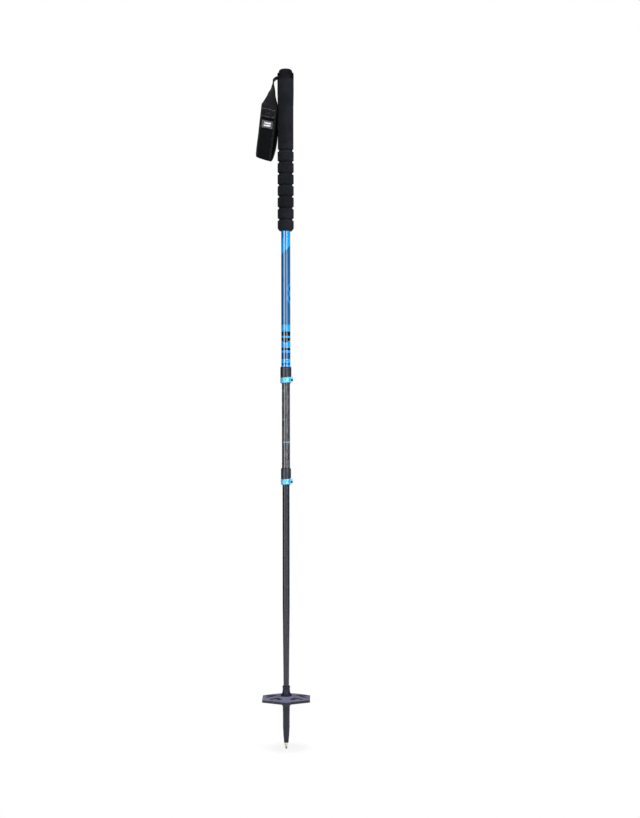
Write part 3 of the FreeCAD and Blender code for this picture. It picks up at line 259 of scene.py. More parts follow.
class Finish:
    """One material: its node tree, the surface's own coordinates, and the shader."""

    def __init__(self, name, roughness=0.5, metallic=0.0, **sockets):
        self.material = bpy.data.materials.new(name)
        self.material.use_nodes = True
        self.tree = self.material.node_tree
        self.tree.nodes.clear()
        self.shader = self.tree.nodes.new("ShaderNodeBsdfPrincipled")
        self.out = self.tree.nodes.new("ShaderNodeOutputMaterial")
        self.tree.links.new(self.shader.outputs[0], self.out.inputs["Surface"])
        self.shader.inputs["Roughness"].default_value = roughness
        self.shader.inputs["Metallic"].default_value = metallic
        for socket, value in sockets.items():
            self.shader.inputs[socket.replace("_", " ")].default_value = value
        coordinates = self.tree.nodes.new("ShaderNodeTexCoord")
        self.place = Field(self.tree, coordinates.outputs["Object"])
        self.unwrapped = Field(self.tree, coordinates.outputs["UV"])
        self.facing = Field(self.tree, coordinates.outputs["Normal"])

    def axes(self, vector=None):
        parts = self.tree.nodes.new("ShaderNodeSeparateXYZ")
        feed(self.tree, parts.inputs[0], vector or self.place)
        return tuple(Field(self.tree, parts.outputs[i]) for i in range(3))

    def vector(self, x, y, z):
        joined = self.tree.nodes.new("ShaderNodeCombineXYZ")
        for socket, value in zip(joined.inputs, (x, y, z)):
            feed(self.tree, socket, value)
        return Field(self.tree, joined.outputs[0])

    def round_the_pole(self):
        """(angle round the pole from the front, -pi to pi and positive towards +X; height)."""
        x, y, z = self.axes()
        return x.op("ARCTAN2", y * -1.0), z

    def noise(self, scale, detail=3.0, vector=None, rough=0.5):
        node = self.tree.nodes.new("ShaderNodeTexNoise")
        feed(self.tree, node.inputs["Vector"], vector or self.place)
        node.inputs["Scale"].default_value = scale
        node.inputs["Detail"].default_value = detail
        node.inputs["Roughness"].default_value = rough
        return Field(self.tree, node.outputs["Fac"])

    def use(self, group, *values):
        """Place a shared effect, its inputs in order; gives its outputs in order."""
        node = self.tree.nodes.new("ShaderNodeGroup")
        node.node_tree = group
        for socket, value in zip(node.inputs, values):
            feed(self.tree, socket, value)
        outputs = [Field(self.tree, socket) for socket in node.outputs]
        return outputs[0] if len(outputs) == 1 else outputs

    def mixed(self, share, first, second):
        node = self.tree.nodes.new("ShaderNodeMix")
        node.data_type = "RGBA"
        feed(self.tree, node.inputs["Factor"], share)
        feed(self.tree, node.inputs[MIX_FIRST], first)
        feed(self.tree, node.inputs[MIX_SECOND], second)
        return Field(self.tree, node.outputs[MIX_RESULT])

    def colour(self, value):
        feed(self.tree, self.shader.inputs["Base Color"], value)

    def roughness(self, value):
        feed(self.tree, self.shader.inputs["Roughness"], value)

    def relief(self, height, distance):
        """Bump from a height field of 0 to 1; distance is how tall 1 is."""
        node = self.tree.nodes.new("ShaderNodeBump")
        node.inputs["Strength"].default_value = 1.0
        node.inputs["Distance"].default_value = distance
        feed(self.tree, node.inputs["Height"], height)
        self.tree.links.new(node.outputs["Normal"], self.shader.inputs["Normal"])


# ------------------------------------------------------------------ effects that several finishes share

def effect(name, inputs, outputs):
    """An empty shader node group with named sockets; gives (group, its inputs, a way to set an output)."""
    group = bpy.data.node_groups.new(name, "ShaderNodeTree")
    for label, kind, value in inputs:
        socket = group.interface.new_socket(label, in_out="INPUT", socket_type=kind)
        if value is not None:
            socket.default_value = value
    for label in outputs:
        group.interface.new_socket(label, in_out="OUTPUT", socket_type="NodeSocketFloat")
    entry = group.nodes.new("NodeGroupInput")
    leave = group.nodes.new("NodeGroupOutput")
    given = [Field(group, socket) for socket in entry.outputs[:len(inputs)]]

    def put(label, value):
        group.links.new(value.socket, leave.inputs[label])
    return group, given, put


def group_texture(group, kind, vector, scale, output, **settings):
    node = group.nodes.new(kind)
    feed(group, node.inputs["Vector"], vector)
    feed(group, node.inputs["Scale"], scale)
    for label, value in settings.items():
        node.inputs[label].default_value = value
    return Field(group, node.outputs[output])


def moulded_grain():
    """Fine spark-eroded grain of moulded plastic: a height, and flecks a little lighter than the rest."""
    group, (place, scale), put = effect(
        "moulded_grain",
        [("Place", "NodeSocketVector", None), ("Grains per metre", "NodeSocketFloat", 1500.0)],
        ["Height", "Fleck"],
    )
    fine = group_texture(group, "ShaderNodeTexNoise", place, scale, "Fac", Detail=4.0, Roughness=0.65)
    broad = group_texture(group, "ShaderNodeTexNoise", place, scale * 0.08, "Fac", Detail=2.0)
    put("Height", fine * 0.8 + broad * 0.2)
    put("Fleck", fine.rise(0.56, 0.72) * 0.6 + broad.rise(0.4, 0.75) * 0.4)
    return group


def handling_wear():
    """Scuffs and rubbed patches: a broad cloud broken up by fine scratches."""
    group, (place, amount), put = effect(
        "handling_wear",
        [("Place", "NodeSocketVector", None), ("Amount", "NodeSocketFloat", 0.5)],
        ["Scuff", "Smear"],
    )
    cloud = group_texture(group, "ShaderNodeTexNoise", place, 38.0, "Fac", Detail=3.0)
    stretch = group.nodes.new("ShaderNodeMapping")
    group.links.new(place.socket, stretch.inputs["Vector"])
    stretch.inputs["Scale"].default_value = (1.0, 1.0, 0.12)
    long_way = Field(group, stretch.outputs[0])
    lines = group_texture(group, "ShaderNodeTexNoise", long_way, 2600.0, "Fac", Detail=2.0)
    put("Scuff", cloud.rise(0.52, 0.75) * lines.rise(0.6, 0.7) * amount)
    put("Smear", cloud.rise(0.35, 0.7) * amount)
    return group


def foam_cells():
    """Closed-cell foam cut and ground to size: small burst cells between smooth skin; Burst marks their pits,
    which grip_foam darkens as painted shade.
    """
    group, (place, scale), put = effect(
        "foam_cells",
        [("Place", "NodeSocketVector", None), ("Cells per metre", "NodeSocketFloat", 1700.0)],
        ["Height", "Burst"],
    )
    cells = group_texture(group, "ShaderNodeTexVoronoi", place, scale, "Distance")
    cloud = group_texture(group, "ShaderNodeTexNoise", place, scale * 0.18, "Fac", Detail=4.0)
    put("Height", cells.rise(0.1, 0.6) * 0.7 + cloud * 0.3)
    put("Burst", cells.rest().rise(0.62, 0.85) * cloud.rise(0.4, 0.62))
    return group


def woven_threads():
    """Plain weave from distances across and along the cloth: a height, and a mask of the gaps between
    threads, which cloth() darkens as painted shade.
    """
    group, (across, along, pick), put = effect(
        "woven_threads",
        [
            ("Across", "NodeSocketFloat", 0.0),
            ("Along", "NodeSocketFloat", 0.0),
            ("Thread width", "NodeSocketFloat", 0.9 * MM),
        ],
        ["Height", "Gap"],
    )
    turn = across / pick * math.pi
    rise = along / pick * (math.pi * 1.6)
    warp = turn.sine().size()
    weft = rise.sine().size()
    over = (turn * 0.5).sine() * (rise * 0.5).sine()
    put("Height", warp * 0.55 + weft * 0.25 + over * 0.2 + 0.1)
    put("Gap", warp.rest().rise(0.55, 0.95).most(weft.rest().rise(0.7, 1.0)))
    return group


GRAIN = moulded_grain()
WEAR = handling_wear()
CELLS = foam_cells()
WEAVE = woven_threads()


# ------------------------------------------------------------------ finishes

def pale_floor():
    """Matt pale floor that fades to plain white away from the pole."""
    finish = Finish("pale_floor", roughness=0.9)
    cloud = finish.noise(1.2, 3.0)
    finish.colour(finish.mixed(cloud, (0.92, 0.92, 0.925), (0.95, 0.95, 0.95)))
    x, y, _ = finish.axes()
    reach = (x * x + y * y).op("SQRT")
    glow = finish.tree.nodes.new("ShaderNodeEmission")
    glow.inputs["Color"].default_value = (1, 1, 1, 1)
    path = finish.tree.nodes.new("ShaderNodeLightPath")
    share = reach.rise(0.0, 0.3) * 0.15 + 0.85
    share = share * Field(finish.tree, path.outputs["Is Camera Ray"])
    mix = finish.tree.nodes.new("ShaderNodeMixShader")
    feed(finish.tree, mix.inputs[0], share)
    finish.tree.links.new(finish.shader.outputs[0], mix.inputs[1])
    finish.tree.links.new(glow.outputs[0], mix.inputs[2])
    finish.tree.links.new(mix.outputs[0], finish.out.inputs["Surface"])
    return finish.material


# the upper tube's print: heights above its collar, distances round its girth, angles round the pole
TUBE_RADIUS = 9 * MM
PRINT_EDGE = 0.2 * MM
FIELD_FOOT, FIELD_BEYOND = 83 * MM, 400 * MM
SLANT_LEVEL, SLANT_SLOPE = 231 * MM, 0.9
DOT_PITCH, DOT_HALF, DOT_EDGE, DOT_SHOW = 5.6 * MM, 1.7 * MM, 0.08 * MM, 0.86
ZIG_MIDDLE, ZIG_STEP = 154.8 * MM, 19.5 * MM
ZIG_ANGLE, ZIG_REACH, ZIG_HALF = 0.34, 0.9, 0.22
ZIG_SPAN = (125 * MM, 165.5 * MM)
HOLLOW_SPAN = (127 * MM, 163 * MM)
HOLLOW_START, HOLLOW_END, HOLLOW_EDGE = 0.2, 1.9, 0.03
HIGH_BAND = (61.2 * MM, 69.9 * MM)
LOW_BAND = (32.5 * MM, 37.6 * MM)
SHIELD_SPAN = (40 * MM, 57.2 * MM)
SHIELD_FOOT, SHIELD_SLOPE = 47.2 * MM, 4.6 * MM
TINT_SPAN = (15.6 * MM, 28 * MM)
RING_SPAN = (4.4 * MM, 7 * MM)


def blue_graphic_tube():
    """Glossy blue with a plain print: a dark field with blue dots, a zigzag, bands and a shield."""
    finish = Finish(
        "blue_graphic_tube", roughness=0.3, Specular_IOR_Level=0.1,
        Coat_Weight=1.0, Coat_Roughness=0.03, Coat_IOR=2.0,
    )
    angle, height = finish.round_the_pole()
    girth = angle * TUBE_RADIUS
    up = height - COLLAR_TOP

    # the dark field ends in a slant at the top; staggered blue dots show through it
    slant_top = girth * SLANT_SLOPE + SLANT_LEVEL
    field = up.within(FIELD_FOOT, FIELD_BEYOND) * (up - slant_top).rise(PRINT_EDGE, -PRINT_EDGE)
    row = (up / (DOT_PITCH / 2) + 0.5).op("FLOOR")
    shift = row.op("FLOORED_MODULO", 2.0) * (DOT_PITCH / 2)
    dot_x = (girth + shift).wrapped(DOT_PITCH)
    dot_z = up.wrapped(DOT_PITCH / 2)
    reach = dot_x.size() + dot_z.size()
    dots = (reach - DOT_HALF).rise(DOT_EDGE, -DOT_EDGE)

    # zigzag of plain blue on the right of the field, dark inside its points
    zig = (up - ZIG_MIDDLE).wrapped(ZIG_STEP).size() * (ZIG_REACH / (ZIG_STEP / 2)) + ZIG_ANGLE
    zigzag = ((angle - zig).size() - ZIG_HALF).rise(0.02, -0.02) * up.within(*ZIG_SPAN)
    hollow = (angle - zig - HOLLOW_START).rise(0.0, HOLLOW_EDGE) * up.within(*HOLLOW_SPAN)
    hollow = hollow * (angle - HOLLOW_END).rise(HOLLOW_EDGE, -HOLLOW_EDGE)

    # bands and the downward shield below the field
    point = angle.size() * SHIELD_SLOPE + SHIELD_FOOT
    shield = (up - point).rise(-PRINT_EDGE, PRINT_EDGE) * up.within(*SHIELD_SPAN)

    scuff, smear = finish.use(WEAR, finish.place, 0.35)
    blue = finish.mixed(smear * 0.35, linear(0, 156, 250), linear(0, 166, 255))
    night = linear(3, 12, 26)
    ink = field.most(up.within(*HIGH_BAND)).most(up.within(*LOW_BAND)).most(shield)
    ink = ink.most(up.within(*RING_SPAN))
    ink = ink * (dots * field * -DOT_SHOW + 1.0)
    ink = ink.most(hollow) * zigzag.rest()
    coated = finish.mixed(up.within(*TINT_SPAN), blue, linear(6, 74, 124))
    coated = finish.mixed(ink, coated, night)
    finish.colour(finish.mixed(scuff * 0.3, coated, linear(150, 190, 215)))
    finish.roughness(scuff * 0.3 + smear * 0.06 + ink * 0.05 + 0.19)
    finish.relief(finish.noise(900.0, 2.0) * 0.5 + ink * 0.5, 0.012 * MM)
    return finish.material


# the middle tube's marks: heights above its collar, and the angle that the two upper ones stand at
SETTING_RING = (50.9 * MM, 52.9 * MM)
LOWER_MARK = (95.3 * MM, 96.8 * MM)
UPPER_MARK = (152.8 * MM, 154.2 * MM)
MARK_ANGLE, MARK_HALF, MARK_EDGE = -1.2, 0.95, 0.85


def streaked_grey_tube():
    """Grey tube with wavy pale streaks under a satin coat, and light blue setting rings."""
    finish = Finish("streaked_grey_tube", roughness=0.3, Coat_Weight=0.7, Coat_Roughness=0.18, Coat_IOR=1.6)
    angle, height = finish.round_the_pole()
    girth = angle * (8 * MM)
    wander = finish.noise(60.0, 3.0) - 0.5
    patch_place = finish.vector(girth, height * 0.18 + wander * (5 * MM), 0.0)
    patches = finish.noise(330.0, 3.0, patch_place, 0.55).rise(0.4, 0.62)
    fibre_place = finish.vector(girth, height * 0.05 + wander * (2 * MM), 0.0)
    fibres = finish.noise(2400.0, 3.0, fibre_place, 0.6).rise(0.35, 0.7)
    flow = patches * 0.7 + fibres * 0.3
    grey = finish.mixed(flow, linear(30, 30, 35), linear(86, 88, 96))
    tube_foot = high("lower_lock_collar").z

    def between(bottom, top):
        return height.within(tube_foot + bottom, tube_foot + top)
    ring = between(*SETTING_RING)
    side = (angle - MARK_ANGLE).size().rise(MARK_HALF, MARK_EDGE)
    marks = between(*LOWER_MARK).most(between(*UPPER_MARK)) * side
    scuff, smear = finish.use(WEAR, finish.place, 0.5)
    painted = finish.mixed(ring.most(marks) * 0.8, grey, linear(96, 160, 200))
    finish.colour(finish.mixed(scuff * 0.35, painted, linear(165, 167, 170)))
    finish.roughness(smear * 0.12 + scuff * 0.2 + flow * 0.05 + 0.28)
    finish.relief(flow * 0.6 + ring * 0.4, 0.02 * MM)
    return finish.material


def slate_tube():
    """Satin slate-coloured anodising, rubbed lengthwise where the lock runs on it."""
    finish = Finish("slate_tube", roughness=0.36, Coat_Weight=0.3, Coat_Roughness=0.2, Specular_IOR_Level=0.3)
    angle, height = finish.round_the_pole()
    lengthwise = finish.vector(angle * (7 * MM), height * 0.02, 0.0)
    brushed = finish.noise(5200.0, 3.0, lengthwise)
    scuff, smear = finish.use(WEAR, finish.place, 0.25)
    slate = finish.mixed(brushed.rise(0.35, 0.7), linear(24, 26, 33), linear(36, 40, 50))
    collar_foot = low("lower_lock_collar").z
    rubbed = height.rise(collar_foot - 60 * MM, collar_foot)
    slate = finish.mixed(rubbed * smear * 0.25, slate, linear(92, 95, 102))
    finish.colour(finish.mixed(scuff * 0.4, slate, linear(140, 143, 150)))
    finish.roughness(brushed * 0.1 + smear * 0.1 + scuff * 0.2 + 0.27)
    finish.relief(brushed, 0.008 * MM)
    return finish.material


def grip_foam():
    """Closed-cell foam, near black, with the ground skin's small burst cells."""
    finish = Finish(
        "grip_foam", roughness=0.86,
        Sheen_Weight=0.03, Sheen_Roughness=0.5, Specular_IOR_Level=0.1,
    )
    height, burst = finish.use(CELLS, finish.place, 1900.0)
    _, smear = finish.use(WEAR, finish.place, 0.8)
    body = finish.mixed(smear, linear(21, 22, 27), linear(30, 31, 37))
    # painted shade: the pits of the burst cells are darkened
    body = finish.mixed(burst * 0.7, body, linear(8, 8, 11))
    finish.colour(body)
    finish.roughness(smear * -0.1 + 0.9)
    finish.relief(height * 0.75 + finish.noise(180.0, 3.0) * 0.25, 0.16 * MM)
    return finish.material


def plastic(name, dark, light, grains, depth, roughness, wear=0.4, rubbed=(120, 122, 128), shine=0.3):
    """Moulded plastic: two close shades, moulded grain and a little wear."""
    finish = Finish(name, roughness=roughness, Specular_IOR_Level=shine)
    height, fleck = finish.use(GRAIN, finish.place, grains)
    scuff, smear = finish.use(WEAR, finish.place, wear)
    shade = finish.mixed(fleck, linear(*dark), linear(*light))
    finish.colour(finish.mixed(scuff * 0.35, shade, linear(*rubbed)))
    finish.roughness(fleck * 0.08 + smear * -0.12 + scuff * 0.1 + roughness)
    finish.relief(height, depth)
    return finish.material


def basket_plastic():
    """Moulded basket with grain and wear: upward faces coloured pale as painted top light, sides, rim and
    slot walls coloured dark as painted shade.
    """
    finish = Finish("basket_plastic", roughness=0.42, Specular_IOR_Level=0.45)
    height, fleck = finish.use(GRAIN, finish.place, 1300.0)
    scuff, smear = finish.use(WEAR, finish.place, 0.8)
    _, _, upward = finish.axes(finish.facing)
    # painted top light: faces turned upward get this pale colour, with grain flecks and wear
    painted_top_light = finish.mixed(fleck * 0.5 + smear * 0.5, linear(92, 92, 114), linear(126, 126, 150))
    # painted shade: sides, rim and slot walls get this dark colour, with grain flecks
    dark = finish.mixed(fleck, linear(10, 10, 16), linear(24, 24, 34))
    # upward faces take the painted top light, all other faces the painted shade
    shade = finish.mixed(upward.rise(0.45, 0.85), dark, painted_top_light)
    finish.colour(finish.mixed(scuff * 0.3, shade, linear(128, 128, 146)))
    finish.roughness(fleck * 0.08 + smear * -0.12 + scuff * 0.1 + 0.42)
    finish.relief(height, 0.05 * MM)
    return finish.material


LATHE_LINES = 5200.0        # half turns of the ring pattern per metre


def turned_metal(name, dark, light, roughness, metallic=1.0):
    """Metal off the lathe: fine rings round the pole's axis and a cloudy tone."""
    finish = Finish(name, roughness=roughness, metallic=metallic)
    _, _, height = finish.axes()
    lathe = (height * (math.pi * LATHE_LINES)).sine() * 0.5 + 0.5
    cloud = finish.noise(420.0, 3.0)
    scuff, smear = finish.use(WEAR, finish.place, 1.0)
    finish.colour(finish.mixed(cloud * 0.7 + scuff * 0.3, linear(*dark), linear(*light)))
    finish.roughness(lathe * 0.08 + smear * 0.12 + roughness)
    finish.relief(lathe * 0.6 + cloud * 0.4, 0.015 * MM)
    return finish.material


def cloth(name, dark, light, thread, depth, fuzz=0.04, roughness=0.88):
    """Woven cloth; its coordinates are metres across and along the strap."""
    finish = Finish(
        name, roughness=roughness, Sheen_Weight=fuzz, Sheen_Roughness=0.5, Specular_IOR_Level=0.25
    )
    across, along, _ = finish.axes(finish.unwrapped)
    height, gap = finish.use(WEAVE, across, along, thread)
    fibre = finish.noise(3200.0, 2.0)
    cloud = finish.noise(90.0, 3.0)
    # raised threads are coloured lighter as painted light on their crowns, mixed with random fibre and cloud
    # tone
    shade = finish.mixed(height * 0.6 + fibre * 0.25 + cloud * 0.25, linear(*dark), linear(*light))
    # painted shade: the gaps between threads are darkened
    finish.colour(finish.mixed(gap * 0.75, shade, linear(*(c * 0.45 for c in dark))))
    finish.roughness(gap * 0.06 + fibre * 0.1 + roughness - 0.08)
    finish.relief(height * 0.8 + fibre * 0.2, depth)
    return finish.material


def brushed_lining(name, dark, light):
    """Soft brushed lining over thin foam: short pile, no visible threads."""
    finish = Finish(name, roughness=0.93, Sheen_Weight=0.05, Sheen_Roughness=0.4, Specular_IOR_Level=0.1)
    pile = finish.noise(4200.0, 3.0)
    cloud = finish.noise(120.0, 4.0)
    finish.colour(finish.mixed(pile * 0.5 + cloud * 0.5, linear(*dark), linear(*light)))
    finish.roughness(pile * 0.08 + 0.88)
    finish.relief(pile * 0.7 + cloud * 0.3, 0.09 * MM)
    return finish.material


def paint_frame():
    """Give every CAD node its finish, by the record's material slot."""
    by_slot = {
        "carbide": turned_metal(
            "ground_carbide", (112, 110, 113), (150, 148, 150), roughness=0.45, metallic=0.5
        ),
        "sleeve_metal": turned_metal(
            "sleeve_steel", (214, 206, 190), (238, 231, 216), roughness=0.42, metallic=0.25
        ),
        "tip_plastic": plastic(
            "tip_plastic", (22, 26, 40), (34, 39, 56), grains=2400.0, depth=0.03 * MM, roughness=0.42
        ),
        "basket_plastic": basket_plastic(),
        "slate_tube": slate_tube(),
        "grey_tube": streaked_grey_tube(),
        "blue_tube": blue_graphic_tube(),
        "lock_plastic": plastic(
            "lock_plastic", (40, 41, 48), (58, 60, 69),
            grains=2100.0, depth=0.035 * MM, roughness=0.34, shine=0.5,
        ),
        "lever_plastic": plastic(
            "lever_plastic", (96, 205, 250), (120, 218, 254),
            grains=1900.0, depth=0.02 * MM, roughness=0.3, wear=0.3, rubbed=(190, 232, 250), shine=0.6,
        ),
        "plate_steel": turned_metal("darkened_steel", (34, 34, 38), (58, 58, 62), roughness=0.4),
        "screw_steel": turned_metal("blackened_steel", (16, 16, 18), (34, 34, 36), roughness=0.45),
        "guide_plastic": plastic(
            "guide_plastic", (42, 42, 45), (58, 58, 62), grains=1800.0, depth=0.03 * MM, roughness=0.5
        ),
        "grip_foam": grip_foam(),
        "head_plastic": plastic(
            "head_plastic", (10, 10, 13), (20, 21, 25),
            grains=1500.0, depth=0.08 * MM, roughness=0.6, shine=0.12,
        ),
        "strap_webbing": cloth(
            "hidden_webbing", (30, 29, 34), (58, 56, 64), thread=0.9 * MM, depth=0.2 * MM
        ),
        "strap_padding": brushed_lining("hidden_lining", (16, 17, 19), (30, 31, 34)),
        "strap_patch": cloth(
            "hidden_patch", (70, 72, 76), (110, 112, 118), thread=0.5 * MM, depth=0.1 * MM
        ),
    }
    slot_of = {part["node"]: part["material_slot"] for part in frame["record"]["subparts"]}
    for node, thing in frame["nodes"].items():
        thing.data.materials.clear()
        thing.data.materials.append(by_slot[slot_of[node]])


# ------------------------------------------------------------------ meshes

def new_piece(name, vertices, faces, materials, uvs, face_material=None):
    mesh = bpy.data.meshes.new(name)
    mesh.from_pydata([tuple(v) for v in vertices], [], faces)
    for material in materials:
        mesh.materials.append(material)
    if face_material is not None:
        mesh.polygons.foreach_set("material_index", face_material)
    layer = mesh.uv_layers.new(name="cloth")
    for loop in mesh.loops:
        layer.data[loop.index].uv = uvs[loop.vertex_index]
    mesh.polygons.foreach_set("use_smooth", [True] * len(mesh.polygons))
    mesh.update()
    thing = bpy.data.objects.new(name, mesh)
    bpy.context.scene.collection.objects.link(thing)
    return thing


class Run:
    """A strap's course: stations of centre, turn, tilt, pitch and width share, joined smoothly.

    The turn takes the width from front-to-back to left-to-right, the tilt drops its right-hand end,
    and the pitch leans the face over, 0 upright and 180 upright facing the other way.
    """

    def __init__(self, stations, shift=0.0):
        self.rows = np.array([
            (MOUTH.x + dx * MM, y * MM, MOUTH.z + dz * MM, turn, tilt, pitch, share)
            for dx, y, dz, turn, tilt, pitch, share in stations
        ])
        self.shift = shift
        steps = np.linalg.norm(np.diff(self.rows[:, :3], axis=0), axis=1)
        self.at = np.concatenate([[0.0], np.cumsum(steps)])
        self.length = self.at[-1]
        self.slopes = np.gradient(self.rows, self.at, axis=0)

    def row(self, distance):
        """Cubic between the two stations either side."""
        i = int(np.clip(np.searchsorted(self.at, distance) - 1, 0, len(self.at) - 2))
        gap = self.at[i + 1] - self.at[i]
        t = min(max((distance - self.at[i]) / gap, 0.0), 1.0)
        keep = 2 * t ** 3 - 3 * t ** 2 + 1
        lead = t ** 3 - 2 * t ** 2 + t
        tail = t ** 3 - t ** 2
        first, second = self.rows[i], self.rows[i + 1]
        return keep * first + (1 - keep) * second + gap * (lead * self.slopes[i] + tail * self.slopes[i + 1])

    def frame(self, distance):
        """(centre, width direction, facing direction, width share) at a distance along the run."""
        row = self.row(distance)
        turned = Matrix.Rotation(math.radians(row[3]), 3, "Z")
        tilted = Matrix.Rotation(math.radians(row[4]), 3, "Y")
        pitched = Matrix.Rotation(math.radians(row[5]), 3, "Y")
        across = tilted @ turned @ Vector((0, -1, 0))
        facing = tilted @ turned @ pitched @ Vector((-1, 0, 0))
        centre = Vector(row[:3]) + facing * self.shift
        return centre, across, facing, row[6]

    def point(self, distance, across, out):
        centre, side, facing, _ = self.frame(distance)
        return centre + side * across + facing * out


CROWDING = 1.25             # above 1, a strip's columns stand closer together near its edges


def strip(name, run, start, end, width, outer, inner, materials, steps, columns, choose=None):
    """A closed band along a run, whose own share widens it.

    outer and inner give the two faces' heights from (s, distance), with s from -1 to 1 across the
    band. choose gives a face's material from the same two.
    """
    shares = np.linspace(-1, 1, columns)
    shares = np.sign(shares) * (1 - (1 - np.abs(shares)) ** CROWDING)
    vertices, uvs = [], []
    for step in range(steps + 1):
        distance = start + (end - start) * step / steps
        _, _, _, share = run.frame(distance)
        half = width * share / 2
        for s in shares:
            vertices.append(run.point(distance, s * half, outer(s, distance)))
            uvs.append((s * half, distance))
        for s in shares[::-1]:
            vertices.append(run.point(distance, s * half, inner(s, distance)))
            uvs.append((s * half, distance))
    ring = 2 * columns
    faces, marks = [], []
    for step in range(steps):
        for i in range(ring):
            a = step * ring + i
            b = step * ring + (i + 1) % ring
            faces.append((a, b, b + ring, a + ring))
            column = i if i < columns else ring - 1 - i
            s = shares[min(column, columns - 1)]
            distance = start + (end - start) * (step + 0.5) / steps
            marks.append(choose(s, distance) if choose else 0)
    for base, flip in ((0, False), (steps * ring, True)):
        for i in range(columns - 1):
            quad = (base + i, base + i + 1, base + ring - 2 - i, base + ring - 1 - i)
            faces.append(quad if flip else quad[::-1])
            marks.append(0)
    piece = new_piece(name, vertices, faces, materials, uvs, marks)
    outward(piece)
    return piece


def outward(piece):
    """Turn every face of a closed mesh outwards."""
    bpy.context.view_layer.objects.active = piece
    piece.select_set(True)
    bpy.ops.object.mode_set(mode="EDIT")
    bpy.ops.mesh.select_all(action="SELECT")
    bpy.ops.mesh.normals_make_consistent(inside=False)
    bpy.ops.object.mode_set(mode="OBJECT")
    piece.select_set(False)


THREAD_SIDES, THREAD_RINGS = 6, 5


def thread_row(name, run, stitches, radius, material):
    """Sewing thread as short low arches. Each stitch is (distance, across, out, distance, across, out)."""
    vertices, faces, uvs = [], [], []
    around, along = THREAD_SIDES, THREAD_RINGS
    for d0, a0, o0, d1, a1, o1 in stitches:
        base = len(vertices)
        for step in range(along):
            t = step / (along - 1)
            lift = math.sin(math.pi * t)
            distance, across, out = d0 + (d1 - d0) * t, a0 + (a1 - a0) * t, o0 + (o1 - o0) * t
            centre, side, facing, _ = run.frame(distance)
            ahead = (run.point(d1, a1, 0) - run.point(d0, a0, 0)).normalized()
            cross = facing.cross(ahead).normalized()
            middle = centre + side * across + facing * (out + radius * 1.1 * (lift - 0.35))
            thick = radius * (0.55 + 0.45 * lift)
            for k in range(around):
                turn = 2 * math.pi * k / around
                vertices.append(middle + (cross * math.cos(turn) + facing * math.sin(turn)) * thick)
                uvs.append((turn * radius, distance))
        for step in range(along - 1):
            for k in range(around):
                a = base + step * around + k
                b = base + step * around + (k + 1) % around
                faces.append((a, b, b + around, a + around))
        faces.append(tuple(base + k for k in range(around))[::-1])
        faces.append(tuple(base + (along - 1) * around + k for k in range(around)))
    piece = new_piece(name, vertices, faces, [material], uvs)
    outward(piece)
    return piece


# ------------------------------------------------------------------ wrist strap

# Stations are (x and z from the slot's mouth with y between them, turn, tilt, pitch, width share),
# in millimetres and degrees. Both layers start inside the head and leave by the slot.
NECK_COURSE = [
    (6.0, 0, 0.0, 0, 0, 90, 1),
    (1.0, 0, 0.0, 0, 0, 88, 1),
    (-1.7, 0, -0.5, 0, 0, 74, 1),
    (-3.9, 0, -1.8, 0, 0, 60, 1),
    (-6.0, 0, -3.4, 0, 0, 52, 1),
    (-7.3, 0, -5.0, 0, 0, 30, 1),
    (-8.1, 0, -8.4, 2, 0, 6, 1),
    (-8.6, 0, -12.0, 7, 0, 0, 1),
    (-9.1, 0, -16.0, 11, 0, 0, 1),
]
FRONT_COURSE = NECK_COURSE + [
    (-9.7, -0.1, -19.8, 16, 0, 0, 1),
    (-11.4, -1.3, -26.0, 26, 3, 0, 1.08),
    (-12.3, -2.9, -34.0, 38, 6, 0, 1.17),
    (-13.6, -4.8, -42.0, 50, 9, 0, 1.27),
    (-15.0, -7.6, -51.0, 65, 12, 0, 1.37),
    (-15.8, -10.9, -57.5, 86, 13, 0, 1.42),
    (-16.4, -12.9, -63.0, 90, 13, 0, 1.42),
    (-17.4, -13.4, -70.5, 90, 13, 0, 1.40),
    (-18.9, -13.6, -82.0, 90, 12, 0, 1.38),
]
BACK_COURSE = NECK_COURSE + [
    (-9.1, 0.1, -19.8, 16, 0, 0, 1),
    (-9.4, 2.6, -27.0, 24, 3, 0, 1.06),
    (-10.9, 5.0, -34.5, 34, 5, 0, 1.13),
    (-12.6, 7.6, -41.5, 50, 6, 0, 1.22),
    (-13.7, 10.2, -49.5, 74, 6, 0, 1.30),
    (-13.4, 10.4, -60.5, 88, 6, 0, 1.35),
    (-13.5, 10.2, -76.5, 90, 5, 0, 1.35),
    (-13.7, 10.2, -92.5, 90, 4, 0, 1.35),
    (-14.4, 11.5, -108.5, 90, 4, 0, 1.33),
    (-15.6, 12.2, -120.5, 90, 5, 0, 1.3),
]
BAND_COURSE = [
    (-15.6, -9.2, -54.5, 82, 13, 0, 0.90),
    (-16.2, -10.1, -60.5, 89, 13, 0, 0.98),
    (-17.2, -10.8, -70.5, 90, 13, 0, 1),
    (-19.6, -11.4, -91.0, 90, 11, 0, 1),
    (-22.2, -11.4, -115.0, 90, 10, 0, 1),
    (-24.8, -11.0, -134.5, 90, 11, 0, 1),
    (-26.8, -9.6, -150.5, 90, 15, 12, 1),
    (-27.6, -6.6, -157.5, 90, 18, 42, 1),
    (-27.2, -1.6, -160.8, 90, 18, 82, 1),
    (-25.4, 3.8, -158.7, 90, 15, 125, 1),
    (-22.8, 7.6, -152.0, 90, 12, 160, 1),
    (-18.9, 9.4, -138.5, 90, 8, 176, 1),
    (-16.2, 9.8, -122.5, 90, 6, 180, 1),
    (-14.6, 9.8, -108.3, 90, 4, 180, 0.97),
]


EDGE_ROLL = 0.07            # share of the webbing's half width that rolls over at its edge
WEB_FILL = 0.98             # share of a layer's thickness that is drawn, so that two never meet


